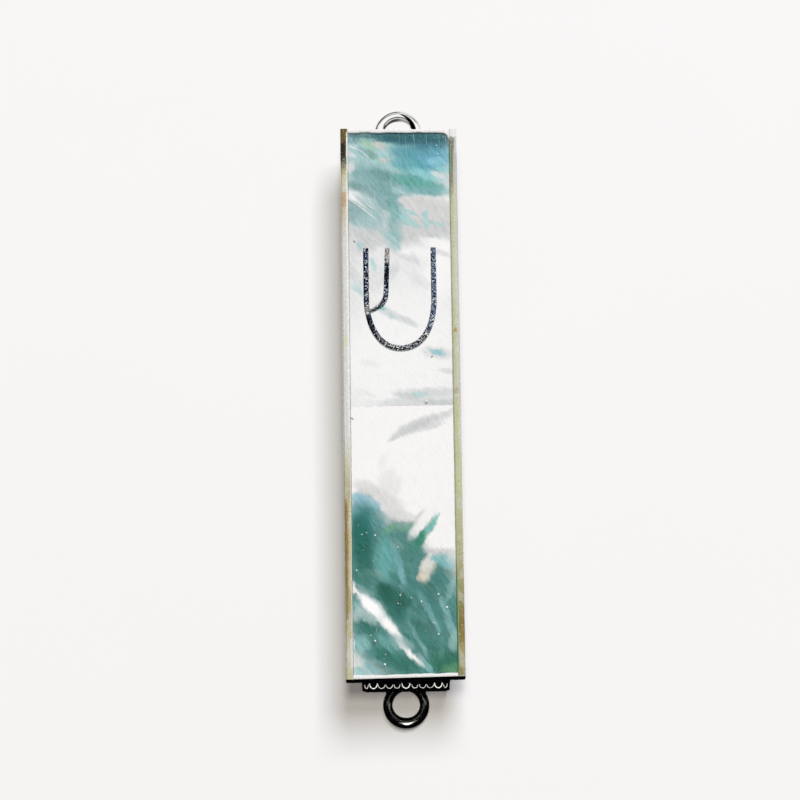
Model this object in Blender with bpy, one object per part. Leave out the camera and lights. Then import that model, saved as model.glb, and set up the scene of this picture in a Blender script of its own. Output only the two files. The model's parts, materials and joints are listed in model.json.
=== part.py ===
"""Mezuzah case: a shallow metal tray inlaid with two shell tiles under clear resin, a raised letter
on the front, and behind the tray a narrow box that holds the rolled parchment. The box closes with
a plate that slides up in two guides. A soldered ring at each end takes a nail.

Z runs along the case, X is to the right, and the front faces -Y. The origin is the centre of the
whole case's box. Depths are measured backwards from the crests of the rims.
"""

import math

import bmesh
import bpy
from mathutils import Vector

# Clearance between neighbouring pieces
GAP = 0.0003

# Front tray
TRAY_WIDTH = 0.0215
TRAY_LENGTH = 0.1033
LONG_RIM_WIDTH = 0.00135
END_RIM_WIDTH = 0.0006
RIM_DEPTH = 0.0026
RIM_CROWN = 0.00045
FLOOR_THICKNESS = 0.0008

# Inlay, from the floor forwards
BED_THICKNESS = 0.0003
TILE_THICKNESS = 0.0012
RESIN_THICKNESS = 0.0004
SEAM_BELOW_CENTRE = 0.0012
TILE_CORNER_RADIUS = 0.0015

# Raised letter
LETTER_WIDTH = 0.0134
LETTER_TOP = 0.0286
LETTER_BOTTOM = 0.0091
LETTER_STROKE = 0.0010
LETTER_THICKNESS = 0.0007
LETTER_SHIFT = -0.0002

# Scroll box behind the tray
WALL_PLANE_DEPTH = 0.0138
BOX_WIDTH = 0.0160
BOX_LENGTH = 0.1030
BOX_WALL = 0.0009
SCALLOP_BASE_DEPTH = 0.0130
SCALLOP_RISE = 0.0007

# Sliding back cover and its guides
COVER_DEPTH = 0.0110
COVER_THICKNESS = 0.0008
GUIDE_SHEET = 0.0005
GUIDE_REACH = 0.0016
PULL_WIDTH = 0.0060
PULL_HEIGHT = 0.0010
PULL_DEPTH = 0.0012

# Hanging rings
RING_RADIUS = 0.00337
RING_WIRE_RADIUS = 0.0008
RING_CENTRE_Z = 0.0545
RING_DEPTH = 0.01295
RING_FOOT_WIDTH = 0.0073
RING_FOOT_RISE = 0.0008

# Parchment
SCROLL_LENGTH = 0.0700
SCROLL_OUTER_RADIUS = 0.00335
SHEET_THICKNESS = 0.0004
SHEET_PITCH = 0.00075
SHEET_TURNS = 3

# Worked out from the sizes above
RESIN_FRONT = RIM_DEPTH - BED_THICKNESS - TILE_THICKNESS - RESIN_THICKNESS - 2 * GAP
LETTER_PROUD = GAP + LETTER_THICKNESS - RESIN_FRONT
CENTRE_DEPTH = (WALL_PLANE_DEPTH - LETTER_PROUD) / 2
HALF_TRAY = TRAY_WIDTH / 2
HALF_LENGTH = TRAY_LENGTH / 2
HALF_BOX = BOX_WIDTH / 2
HALF_BOX_LENGTH = BOX_LENGTH / 2
INSIDE_RIM = HALF_TRAY - LONG_RIM_WIDTH
FLOOR_FRONT = RIM_DEPTH + GAP
BOX_FRONT = FLOOR_FRONT + FLOOR_THICKNESS + GAP
SLOT_FRONT = COVER_DEPTH - GAP
SLOT_BACK = COVER_DEPTH + COVER_THICKNESS + GAP
GUIDE_OUTSIDE = HALF_BOX - BOX_WALL - GAP
GUIDE_INSIDE = GUIDE_OUTSIDE - GUIDE_REACH
COVER_HALF_WIDTH = GUIDE_OUTSIDE - GUIDE_SHEET - GAP

# Colour, metallic and roughness of each finish
POLISHED_METAL = ("polished_metal", (0.80, 0.80, 0.76), 1.0, 0.12)
RIM_METAL = ("rim_metal", (0.76, 0.74, 0.60), 1.0, 0.15)
LETTER_METAL = ("letter_metal", (0.82, 0.84, 0.88), 1.0, 0.25)
SHELL = ("shell", (0.86, 0.90, 0.88), 0.0, 0.20)
GLUE = ("glue", (0.84, 0.83, 0.78), 0.0, 0.60)
RESIN = ("resin", (0.93, 0.96, 0.95), 0.0, 0.05)
PARCHMENT = ("parchment", (0.85, 0.76, 0.60), 0.0, 0.80)

CURVE_STEPS = 16


def clear_scene():
    """Starts from an empty file."""
    for thing in list(bpy.data.objects):
        bpy.data.objects.remove(thing)


def at_depth(depth):
    """The Y of a depth measured back from the rim crests."""
    return depth - CENTRE_DEPTH


def material(finish):
    """The Principled material of a finish, made once."""
    name, colour, metallic, roughness = finish
    found = bpy.data.materials.get(name)
    if found:
        return found
    made = bpy.data.materials.new(name)
    made.use_nodes = True
    shader = made.node_tree.nodes["Principled BSDF"]
    shader.inputs["Base Color"].default_value = (*colour, 1.0)
    shader.inputs["Metallic"].default_value = metallic
    shader.inputs["Roughness"].default_value = roughness
    return made


def add_piece(name, bm, finish, location=(0, 0, 0), smooth=False):
    """Turns a bmesh into a named object with its finish."""
    bmesh.ops.recalc_face_normals(bm, faces=bm.faces)
    mesh = bpy.data.meshes.new(name)
    bm.to_mesh(mesh)
    bm.free()
    mesh.materials.append(material((name + "_" + finish[0], *finish[1:])))
    if smooth:
        mesh.shade_smooth()
        mesh.set_sharp_from_angle(angle=math.radians(30))
    piece = bpy.data.objects.new(name, mesh)
    piece.location = location
    bpy.context.scene.collection.objects.link(piece)
    return piece


def block(name, size, centre, finish):
    """A rectangular plate or bar round its own centre."""
    bm = bmesh.new()
    bmesh.ops.create_cube(bm, size=1.0)
    bmesh.ops.scale(bm, vec=Vector(size), verts=bm.verts)
    return add_piece(name, bm, finish, centre)


def prism(name, outline, start, end, axes, finish, smooth=False):
    """Extrudes an outline. axes names the outline's two axes and then the extrusion's."""
    order = ["xyz".index(letter) for letter in axes]
    bm = bmesh.new()
    base = []
    for first, second in outline:
        point = [0.0, 0.0, 0.0]
        point[order[0]] = first
        point[order[1]] = second
        point[order[2]] = start
        base.append(bm.verts.new(point))
    cap = bm.faces.new(base)
    step = [0.0, 0.0, 0.0]
    step[order[2]] = end - start
    grown = bmesh.ops.extrude_face_region(bm, geom=[cap], use_keep_orig=True)
    moved = [item for item in grown["geom"] if isinstance(item, bmesh.types.BMVert)]
    bmesh.ops.translate(bm, vec=Vector(step), verts=moved)
    return add_piece(name, bm, finish, smooth=smooth)


def strip_solid(name, left, right, start, end, axes, finish, smooth=False):
    """A band between two rows of points, extruded, with its caps made of quads."""
    order = ["xyz".index(letter) for letter in axes]
    bm = bmesh.new()

    def row(points, height):
        made = []
        for first, second in points:
            point = [0.0, 0.0, 0.0]
            point[order[0]] = first
            point[order[1]] = second
            point[order[2]] = height
            made.append(bm.verts.new(point))
        return made

    rows = [row(left, start), row(right, start), row(right, end), row(left, end)]
    for first, second in zip(rows, rows[1:] + rows[:1]):
        for index in range(len(left) - 1):
            bm.faces.new((first[index], first[index + 1], second[index + 1], second[index]))
    for index in (0, -1):
        bm.faces.new([side[index] for side in rows])
    return add_piece(name, bm, finish, smooth=smooth)


def bevel(piece, width, segments=2):
    """Rounds a piece's sharp edges."""
    rounding = piece.modifiers.new("edge_rounding", "BEVEL")
    rounding.width = width
    rounding.segments = segments
    rounding.limit_method = "ANGLE"


def combine(piece, other, operation):
    """Adds or cuts another closed shape, which is then kept out of sight."""
    step = piece.modifiers.new(operation.lower(), "BOOLEAN")
    step.operation = operation
    step.object = other
    step.solver = "EXACT"
    other.hide_render = True
    other.display_type = "WIRE"


def arc(centre, radii, first, last, steps=CURVE_STEPS):
    """Points on an ellipse from one angle to another, in degrees."""
    points = []
    for index in range(steps + 1):
        angle = math.radians(first + (last - first) * index / steps)
        points.append((centre[0] + radii[0] * math.cos(angle), centre[1] + radii[1] * math.sin(angle)))
    return points


def band_edges(path, width):
    """The two sides of a stroke of even width along a path."""
    left, right = [], []
    for index, point in enumerate(path):
        before = Vector(path[max(index - 1, 0)])
        after = Vector(path[min(index + 1, len(path) - 1)])
        along = (after - before).normalized()
        side = Vector((-along.y, along.x)) * width / 2
        left.append(tuple(Vector(point) + side))
        right.append(tuple(Vector(point) - side))
    return left, right


def rim_outline(middle, width, facing):
    """Cross-section of a rim with a crowned front; facing flips the order for a mirrored rim."""
    crown = arc((middle, at_depth(RIM_CROWN)), (width / 2 * facing, -RIM_CROWN), 0, 180)
    foot = at_depth(RIM_DEPTH)
    return crown + [(middle - width / 2 * facing, foot), (middle + width / 2 * facing, foot)]


def build_tray():
    """The floor plate and the four rims that stand round it."""
    floor_middle = FLOOR_FRONT + FLOOR_THICKNESS / 2
    floor = block("tray_floor", (TRAY_WIDTH, FLOOR_THICKNESS, TRAY_LENGTH),
                  (0, at_depth(floor_middle), 0), POLISHED_METAL)
    bevel(floor, 0.0001)
    for name, side in (("left_rim", -1), ("right_rim", 1)):
        outline = rim_outline(side * (HALF_TRAY - LONG_RIM_WIDTH / 2), LONG_RIM_WIDTH, side)
        prism(name, outline, -HALF_LENGTH, HALF_LENGTH, "xyz", RIM_METAL, smooth=True)
    reach = INSIDE_RIM - GAP
    for name, side in (("bottom_rim", -1), ("top_rim", 1)):
        outline = rim_outline(side * (HALF_LENGTH - END_RIM_WIDTH / 2), END_RIM_WIDTH, side)
        prism(name, outline, -reach, reach, "zyx", RIM_METAL, smooth=True)


def tile_outline(low, high, clipped):
    """A tile's outline, with its upper right corner rounded where clipped is true."""
    side = INSIDE_RIM - GAP
    points = [(-side, high), (-side, low), (side, low)]
    if not clipped:
        return points + [(side, high)]
    radius = TILE_CORNER_RADIUS
    return points + arc((side - radius, high - radius), (radius, radius), 0, 90, 8)


def build_inlay():
    """Glue bed, the two shell tiles that meet near the middle, and the clear resin over them."""
    end = HALF_LENGTH - END_RIM_WIDTH - GAP
    width = 2 * (INSIDE_RIM - GAP)
    bed_back = RIM_DEPTH
    bed_front = bed_back - BED_THICKNESS
    block("adhesive_bed", (width, BED_THICKNESS, 2 * end),
          (0, at_depth((bed_front + bed_back) / 2), 0), GLUE)
    tile_back = bed_front - GAP
    tile_front = tile_back - TILE_THICKNESS
    seam = -SEAM_BELOW_CENTRE
    prism("upper_pearl_tile", tile_outline(seam + GAP / 2, end, True),
          at_depth(tile_front), at_depth(tile_back), "xzy", SHELL)
    prism("lower_pearl_tile", tile_outline(-end, seam - GAP / 2, False),
          at_depth(tile_front), at_depth(tile_back), "xzy", SHELL)
    resin_back = tile_front - GAP
    resin = block("resin_coat", (width, RESIN_THICKNESS, 2 * end),
                  (0, at_depth(resin_back - RESIN_THICKNESS / 2), 0), RESIN)
    bevel(resin, 0.0001)


def letter_bowl_path():
    """Centre line of the letter's outer stroke: down the left, round the bottom, up the right."""
    half = (LETTER_WIDTH - LETTER_STROKE) / 2
    low = LETTER_BOTTOM + LETTER_STROKE / 2
    left_rise = 0.0116
    right_rise = 0.0075
    left_bowl = arc((LETTER_SHIFT, low + left_rise), (half, left_rise), 180, 270)
    right_bowl = arc((LETTER_SHIFT, low + right_rise), (half, right_rise), 270, 360)
    top_left = (LETTER_SHIFT - half, LETTER_TOP)
    top_right = (LETTER_SHIFT + half, LETTER_TOP)
    return [top_left] + left_bowl + right_bowl[1:] + [top_right]


def letter_arm_path():
    """Centre line of the middle stroke: down, then curving left into the outer stroke."""
    top = (LETTER_SHIFT - 0.0022, LETTER_TOP)
    bend = (LETTER_SHIFT - 0.0030, LETTER_TOP - 0.0090)
    sweep = arc((bend[0] - 0.0027, bend[1]), (0.0027, 0.0028), 0, -90)
    return [top] + sweep


def build_letter():
    """The raised letter, one casting of even stroke made of two strokes joined."""
    front = at_depth(-LETTER_PROUD)
    back = front + LETTER_THICKNESS
    strokes = []
    for name, path in (("shin_letter", letter_bowl_path()), ("letter_arm", letter_arm_path())):
        left, right = band_edges(path, LETTER_STROKE)
        strokes.append(strip_solid(name, left, right, front, back, "xzy", LETTER_METAL))
    combine(strokes[0], strokes[1], "UNION")


def scalloped_edge():
    """The end wall's back edge from left to right: nine lobes, the widest pair near the corners."""
    right_lobes = [(0.0, 0.0008), (0.0016, 0.0007), (0.0034, 0.0010), (0.0054, 0.0009)]
    lobes = [(-middle, half) for middle, half in reversed(right_lobes[1:])] + right_lobes
    points = []
    for middle, half in lobes:
        base = at_depth(SCALLOP_BASE_DEPTH)
        points += arc((middle, base), (half, SCALLOP_RISE), 180, 0, 8)
    return points


def end_wall_outline():
    """Front edge, sides with rounded back corners, and the scalloped back edge."""
    radius = 0.0015
    corner = HALF_BOX - radius
    turn = at_depth(SCALLOP_BASE_DEPTH) - radius
    front = at_depth(BOX_FRONT)
    left_corner = arc((-corner, turn), (radius, radius), 180, 90, 6)
    right_corner = arc((corner, turn), (radius, radius), 90, 0, 6)
    return [(HALF_BOX, front), (-HALF_BOX, front)] + left_corner + scalloped_edge() + right_corner


def build_box():
    """Side walls, end walls and the guides soldered inside the side walls."""
    wall_length = 2 * (HALF_BOX_LENGTH - BOX_WALL - GAP)
    wall_depth = WALL_PLANE_DEPTH - BOX_FRONT
    wall_middle = (WALL_PLANE_DEPTH + BOX_FRONT) / 2
    for name, side in (("left_side_wall", -1), ("right_side_wall", 1)):
        centre = (side * (HALF_BOX - BOX_WALL / 2), at_depth(wall_middle), 0)
        block(name, (BOX_WALL, wall_depth, wall_length), centre, POLISHED_METAL)
    for name, side in (("left_cover_guide", -1), ("right_cover_guide", 1)):
        outline = guide_outline(side)
        prism(name, outline, -wall_length / 2, wall_length / 2, "xyz", POLISHED_METAL)
    inner = HALF_BOX_LENGTH - BOX_WALL
    prism("bottom_end_wall", end_wall_outline(), -HALF_BOX_LENGTH, -inner, "xyz", POLISHED_METAL)
    top = prism("top_end_wall", end_wall_outline(), inner, HALF_BOX_LENGTH, "xyz", POLISHED_METAL)
    slot = block("cover_slot", (2 * (COVER_HALF_WIDTH + GAP), SLOT_BACK - SLOT_FRONT, 4 * BOX_WALL),
                 (0, at_depth((SLOT_FRONT + SLOT_BACK) / 2), inner), POLISHED_METAL)
    combine(top, slot, "DIFFERENCE")


def guide_outline(side):
    """Cross-section of a U-shaped guide, open towards the middle of the case."""
    outside = side * GUIDE_OUTSIDE
    web = side * (GUIDE_OUTSIDE - GUIDE_SHEET)
    inside = side * GUIDE_INSIDE
    front = at_depth(SLOT_FRONT)
    back = at_depth(SLOT_BACK)
    return [
        (outside, front - GUIDE_SHEET), (inside, front - GUIDE_SHEET), (inside, front), (web, front),
        (web, back), (inside, back), (inside, back + GUIDE_SHEET), (outside, back + GUIDE_SHEET),
    ]


def build_cover():
    """The back plate that slides up out of its guides, with a pull bar outside the top end wall."""
    slide = bpy.data.objects.new("cover_slide", None)
    slide.location = (0, at_depth(COVER_DEPTH + COVER_THICKNESS / 2), 0)
    bpy.context.scene.collection.objects.link(slide)
    bottom = -(HALF_BOX_LENGTH - BOX_WALL - GAP)
    pull_low = HALF_BOX_LENGTH + GAP
    top = pull_low + PULL_HEIGHT
    cover = block("back_cover", (2 * COVER_HALF_WIDTH, COVER_THICKNESS, top - bottom),
                  (0, 0, (top + bottom) / 2), POLISHED_METAL)
    bevel(cover, 0.00015)
    pull_back = -COVER_THICKNESS / 2 - GAP
    pull = block("cover_pull", (PULL_WIDTH, PULL_DEPTH, PULL_HEIGHT),
                 (0, pull_back - PULL_DEPTH / 2, (pull_low + top) / 2), POLISHED_METAL)
    bevel(pull, 0.0003)
    for piece in (cover, pull):
        piece.parent = slide


def ring_foot_outline(side):
    """The flared foot that joins a ring to the end wall, seen from the front."""
    face = HALF_BOX_LENGTH + GAP
    half = RING_FOOT_WIDTH / 2
    flank = half - RING_FOOT_RISE * 0.3
    return [(-half, side * face), (half, side * face),
            (flank, side * (face + RING_FOOT_RISE)), (-flank, side * (face + RING_FOOT_RISE))]


def build_rings():
    """A wire ring at each end: its foot is flared, and its hole stays clear for a nail."""
    for name, side in (("bottom_ring", -1), ("top_ring", 1)):
        centre = (0, at_depth(RING_DEPTH), side * RING_CENTRE_Z)
        bpy.ops.mesh.primitive_torus_add(
            major_radius=RING_RADIUS, minor_radius=RING_WIRE_RADIUS, major_segments=48,
            minor_segments=16, location=centre, rotation=(math.pi / 2, 0, 0))
        ring = bpy.context.object
        ring.name = name
        ring.data.materials.append(material((name + "_metal", *POLISHED_METAL[1:])))
        ring.data.shade_smooth()
        half_foot = RING_WIRE_RADIUS * 0.8
        foot = prism(name + "_foot", ring_foot_outline(side), centre[1] - half_foot,
                     centre[1] + half_foot, "xzy", POLISHED_METAL)
        hole = ring_hole(name + "_hole", centre)
        trim_z = side * (HALF_BOX_LENGTH + GAP - RING_RADIUS)
        trim = block(name + "_trim", (4 * RING_RADIUS, 4 * RING_WIRE_RADIUS, 2 * RING_RADIUS),
                     (0, centre[1], trim_z), POLISHED_METAL)
        combine(ring, foot, "UNION")
        combine(ring, hole, "DIFFERENCE")
        combine(ring, trim, "DIFFERENCE")


def ring_hole(name, centre):
    """A cutter that keeps the ring's hole open through the foot."""
    radius = (RING_RADIUS - RING_WIRE_RADIUS) * 0.98
    bpy.ops.mesh.primitive_cylinder_add(
        vertices=48, radius=radius, depth=4 * RING_WIRE_RADIUS, location=centre,
        rotation=(math.pi / 2, 0, 0))
    hole = bpy.context.object
    hole.name = name
    return hole


def build_scroll():
    """The rolled parchment: a spiral sheet standing in the box behind the tray."""
    cavity_middle = (FLOOR_FRONT + FLOOR_THICKNESS + COVER_DEPTH) / 2
    steps = SHEET_TURNS * 24
    outer, inner = [], []
    for index in range(steps + 1):
        turn = index / steps * SHEET_TURNS
        radius = SCROLL_OUTER_RADIUS - SHEET_PITCH * turn
        angle = 2 * math.pi * turn
        direction = (math.cos(angle), math.sin(angle))
        outer.append((radius * direction[0], at_depth(cavity_middle) + radius * direction[1]))
        thin = radius - SHEET_THICKNESS
        inner.append((thin * direction[0], at_depth(cavity_middle) + thin * direction[1]))
    strip_solid("parchment_scroll", outer, inner, -SCROLL_LENGTH / 2, SCROLL_LENGTH / 2,
                "xyz", PARCHMENT, smooth=True)


def main():
    clear_scene()
    build_tray()
    build_inlay()
    build_letter()
    build_box()
    build_cover()
    build_rings()
    build_scroll()


main()
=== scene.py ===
"""The looks of the mezuzah case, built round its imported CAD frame.

Each piece is placed from the boxes of the CAD nodes. Depths run backwards (+Y) from the crests of
the rims. Patterns are written in millimetres on the front, with x to the right and z up.
"""

import json
import math
import random

import bmesh
import bpy
from mathutils import Matrix, Vector, noise

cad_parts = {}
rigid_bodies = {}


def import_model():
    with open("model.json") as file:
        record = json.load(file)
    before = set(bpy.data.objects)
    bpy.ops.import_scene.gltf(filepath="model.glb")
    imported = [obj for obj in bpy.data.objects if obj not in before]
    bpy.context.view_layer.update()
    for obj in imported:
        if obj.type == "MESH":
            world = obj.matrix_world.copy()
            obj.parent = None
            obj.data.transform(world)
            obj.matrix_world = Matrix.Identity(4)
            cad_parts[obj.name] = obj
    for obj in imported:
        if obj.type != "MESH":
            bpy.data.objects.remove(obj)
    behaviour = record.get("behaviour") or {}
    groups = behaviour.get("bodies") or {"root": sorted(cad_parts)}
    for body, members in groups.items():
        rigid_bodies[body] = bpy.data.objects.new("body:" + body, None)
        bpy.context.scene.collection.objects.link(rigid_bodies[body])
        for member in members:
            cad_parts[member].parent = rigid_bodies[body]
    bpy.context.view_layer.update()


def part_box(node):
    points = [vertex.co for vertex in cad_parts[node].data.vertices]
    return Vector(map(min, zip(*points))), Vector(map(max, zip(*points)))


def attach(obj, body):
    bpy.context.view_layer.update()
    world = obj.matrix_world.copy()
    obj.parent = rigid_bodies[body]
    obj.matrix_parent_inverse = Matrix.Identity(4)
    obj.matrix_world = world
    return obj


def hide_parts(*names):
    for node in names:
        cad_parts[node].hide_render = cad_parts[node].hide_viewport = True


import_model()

MM = 0.001
CASE = "case"
COVER = "cover"

RIM_LOW, RIM_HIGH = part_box("left_rim")
RIGHT_RIM_LOW, RIGHT_RIM_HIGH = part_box("right_rim")
FRONT = RIM_LOW.y
HALF_TRAY = RIGHT_RIM_HIGH.x
INSIDE_RIM = RIGHT_RIM_LOW.x
HALF_LENGTH = RIM_HIGH.z
END_RIM = HALF_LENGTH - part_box("top_rim")[0].z
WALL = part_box("left_side_wall")[1].y
TRAY_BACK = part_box("tray_floor")[1].y
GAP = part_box("tray_floor")[0].y - RIM_HIGH.y


# ---------------------------------------------------------------- node graphs

def linear(code):
    """Linear colour from a hex code."""
    parts = [int(code[i:i + 2], 16) / 255 for i in (0, 2, 4)]
    return tuple(p / 12.92 if p <= 0.04045 else ((p + 0.055) / 1.055) ** 2.4 for p in parts) + (1.0,)


class Look:
    """One material, whose node tree is written as calls that return sockets."""

    def __init__(self, name, roughness=0.3, metallic=0.0):
        self.material = bpy.data.materials.new(name)
        self.material.use_nodes = True
        self.nodes = self.material.node_tree.nodes
        self.links = self.material.node_tree.links
        self.shader = self.nodes["Principled BSDF"]
        self.finish(Roughness=roughness, Metallic=metallic)
        self.mm = self.scaled(self.add("TexCoord").outputs["Object"], (1 / MM,) * 3)

    def feed(self, socket, value):
        """Links a socket, or sets a number, a vector or a hex colour."""
        if isinstance(value, bpy.types.NodeSocket):
            self.links.new(value, socket)
        else:
            socket.default_value = linear(value) if isinstance(value, str) else value

    def add(self, kind, inputs=None, **settings):
        node = self.nodes.new("ShaderNode" + kind)
        for key, value in settings.items():
            setattr(node, key, value)
        for key, value in (inputs or {}).items():
            self.feed(node.inputs[key], value)
        return node

    def math(self, operation, first, second=0.0, third=0.0):
        return self.add("Math", {0: first, 1: second, 2: third}, operation=operation).outputs[0]

    def product(self, first, *others):
        for other in others:
            first = self.math("MULTIPLY", first, other)
        return first

    def vector(self, operation, first, second=(0, 0, 0)):
        return self.add("VectorMath", {0: first, 1: second}, operation=operation).outputs[0]

    def scaled(self, where, scale):
        return self.vector("MULTIPLY", where, scale)

    def stretched(self, where, scale, turn):
        """Coordinates turned about Y, in degrees, then scaled along their own axes."""
        turned = self.add("Mapping", {"Vector": where, "Rotation": (0, math.radians(turn), 0)})
        return self.scaled(turned.outputs[0], scale)

    def split(self, where):
        return self.add("SeparateXYZ", {0: where}).outputs

    def plane(self, where):
        """The x and z of a place."""
        parts = self.split(where)
        return parts[0], parts[2]

    def noise(self, where, scale, detail=3.0, rough=0.5, output="Fac"):
        inputs = {"Vector": where, "Scale": scale, "Detail": detail, "Roughness": rough}
        return self.add("TexNoise", inputs).outputs[output]

    def band(self, value, low, high, start=0.0, end=1.0):
        """Smooth step from start at low to end at high."""
        inputs = {0: value, 1: low, 2: high, 3: start, 4: end}
        return self.add("MapRange", inputs, interpolation_type="SMOOTHSTEP").outputs[0]

    def mix(self, share, first, second, blend="MIX"):
        node = self.add("Mix", {}, data_type="RGBA", blend_type=blend, clamp_factor=True)
        for index, value in ((0, share), (6, first), (7, second)):
            self.feed(node.inputs[index], value)
        return node.outputs[2]

    def tint(self, colour, code, value, low, high, amount=1.0, blend="MIX"):
        """Lays a second colour over the first as a value goes from low to high."""
        return self.mix(self.band(value, low, high, 0.0, amount), colour, code, blend)

    def ramp(self, value, stops, interpolation="LINEAR"):
        """A colour scale of positions and hex codes."""
        node = self.add("ValToRGB", {0: value})
        node.color_ramp.interpolation = interpolation
        elements = node.color_ramp.elements
        while len(elements) < len(stops):
            elements.new(0.5)
        for element, (position, code) in zip(elements, stops):
            element.position = position
            element.color = linear(code)
        return node.outputs[0]

    def spot(self, place, middle, reach, turn=0.0, soft=0.5):
        """1 inside a turned ellipse and 0 outside; soft is the share of its reach that fades."""
        x, z = place
        cosine, sine = math.cos(math.radians(turn)), math.sin(math.radians(turn))
        centre_along = middle[0] * cosine + middle[1] * sine
        centre_across = middle[1] * cosine - middle[0] * sine
        along = self.math("MULTIPLY_ADD", x, cosine / reach[0], -centre_along / reach[0])
        along = self.math("MULTIPLY_ADD", z, sine / reach[0], along)
        across = self.math("MULTIPLY_ADD", x, -sine / reach[1], -centre_across / reach[1])
        across = self.math("MULTIPLY_ADD", z, cosine / reach[1], across)
        square = self.math("MULTIPLY_ADD", along, along, self.product(across, across))
        return self.band(square, (1 + soft / 2) ** 2, (1 - soft) ** 2)

    def bump(self, height, distance, strength, **normal):
        inputs = {"Strength": strength, "Distance": distance, "Height": height, **normal}
        return self.add("Bump", inputs).outputs[0]

    def geometry(self, output):
        return self.add("NewGeometry").outputs[output]

    def underside(self):
        """1 on faces that look down, 0 elsewhere."""
        return self.band(self.split(self.geometry("True Normal"))[2], -0.6, -0.8)

    def finish(self, **inputs):
        for name, value in inputs.items():
            self.feed(self.shader.inputs[name.replace("_", " ")], value)
        return self.material

    def show(self, shader, keep_principled=False):
        """Shows a shader on the surface in place of the principled one."""
        output = next(node for node in self.nodes if node.type == "OUTPUT_MATERIAL")
        self.links.new(shader.outputs[0], output.inputs["Surface"])
        if not keep_principled:
            self.nodes.remove(self.shader)
        return self.material


# ---------------------------------------------------------------- materials

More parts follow.
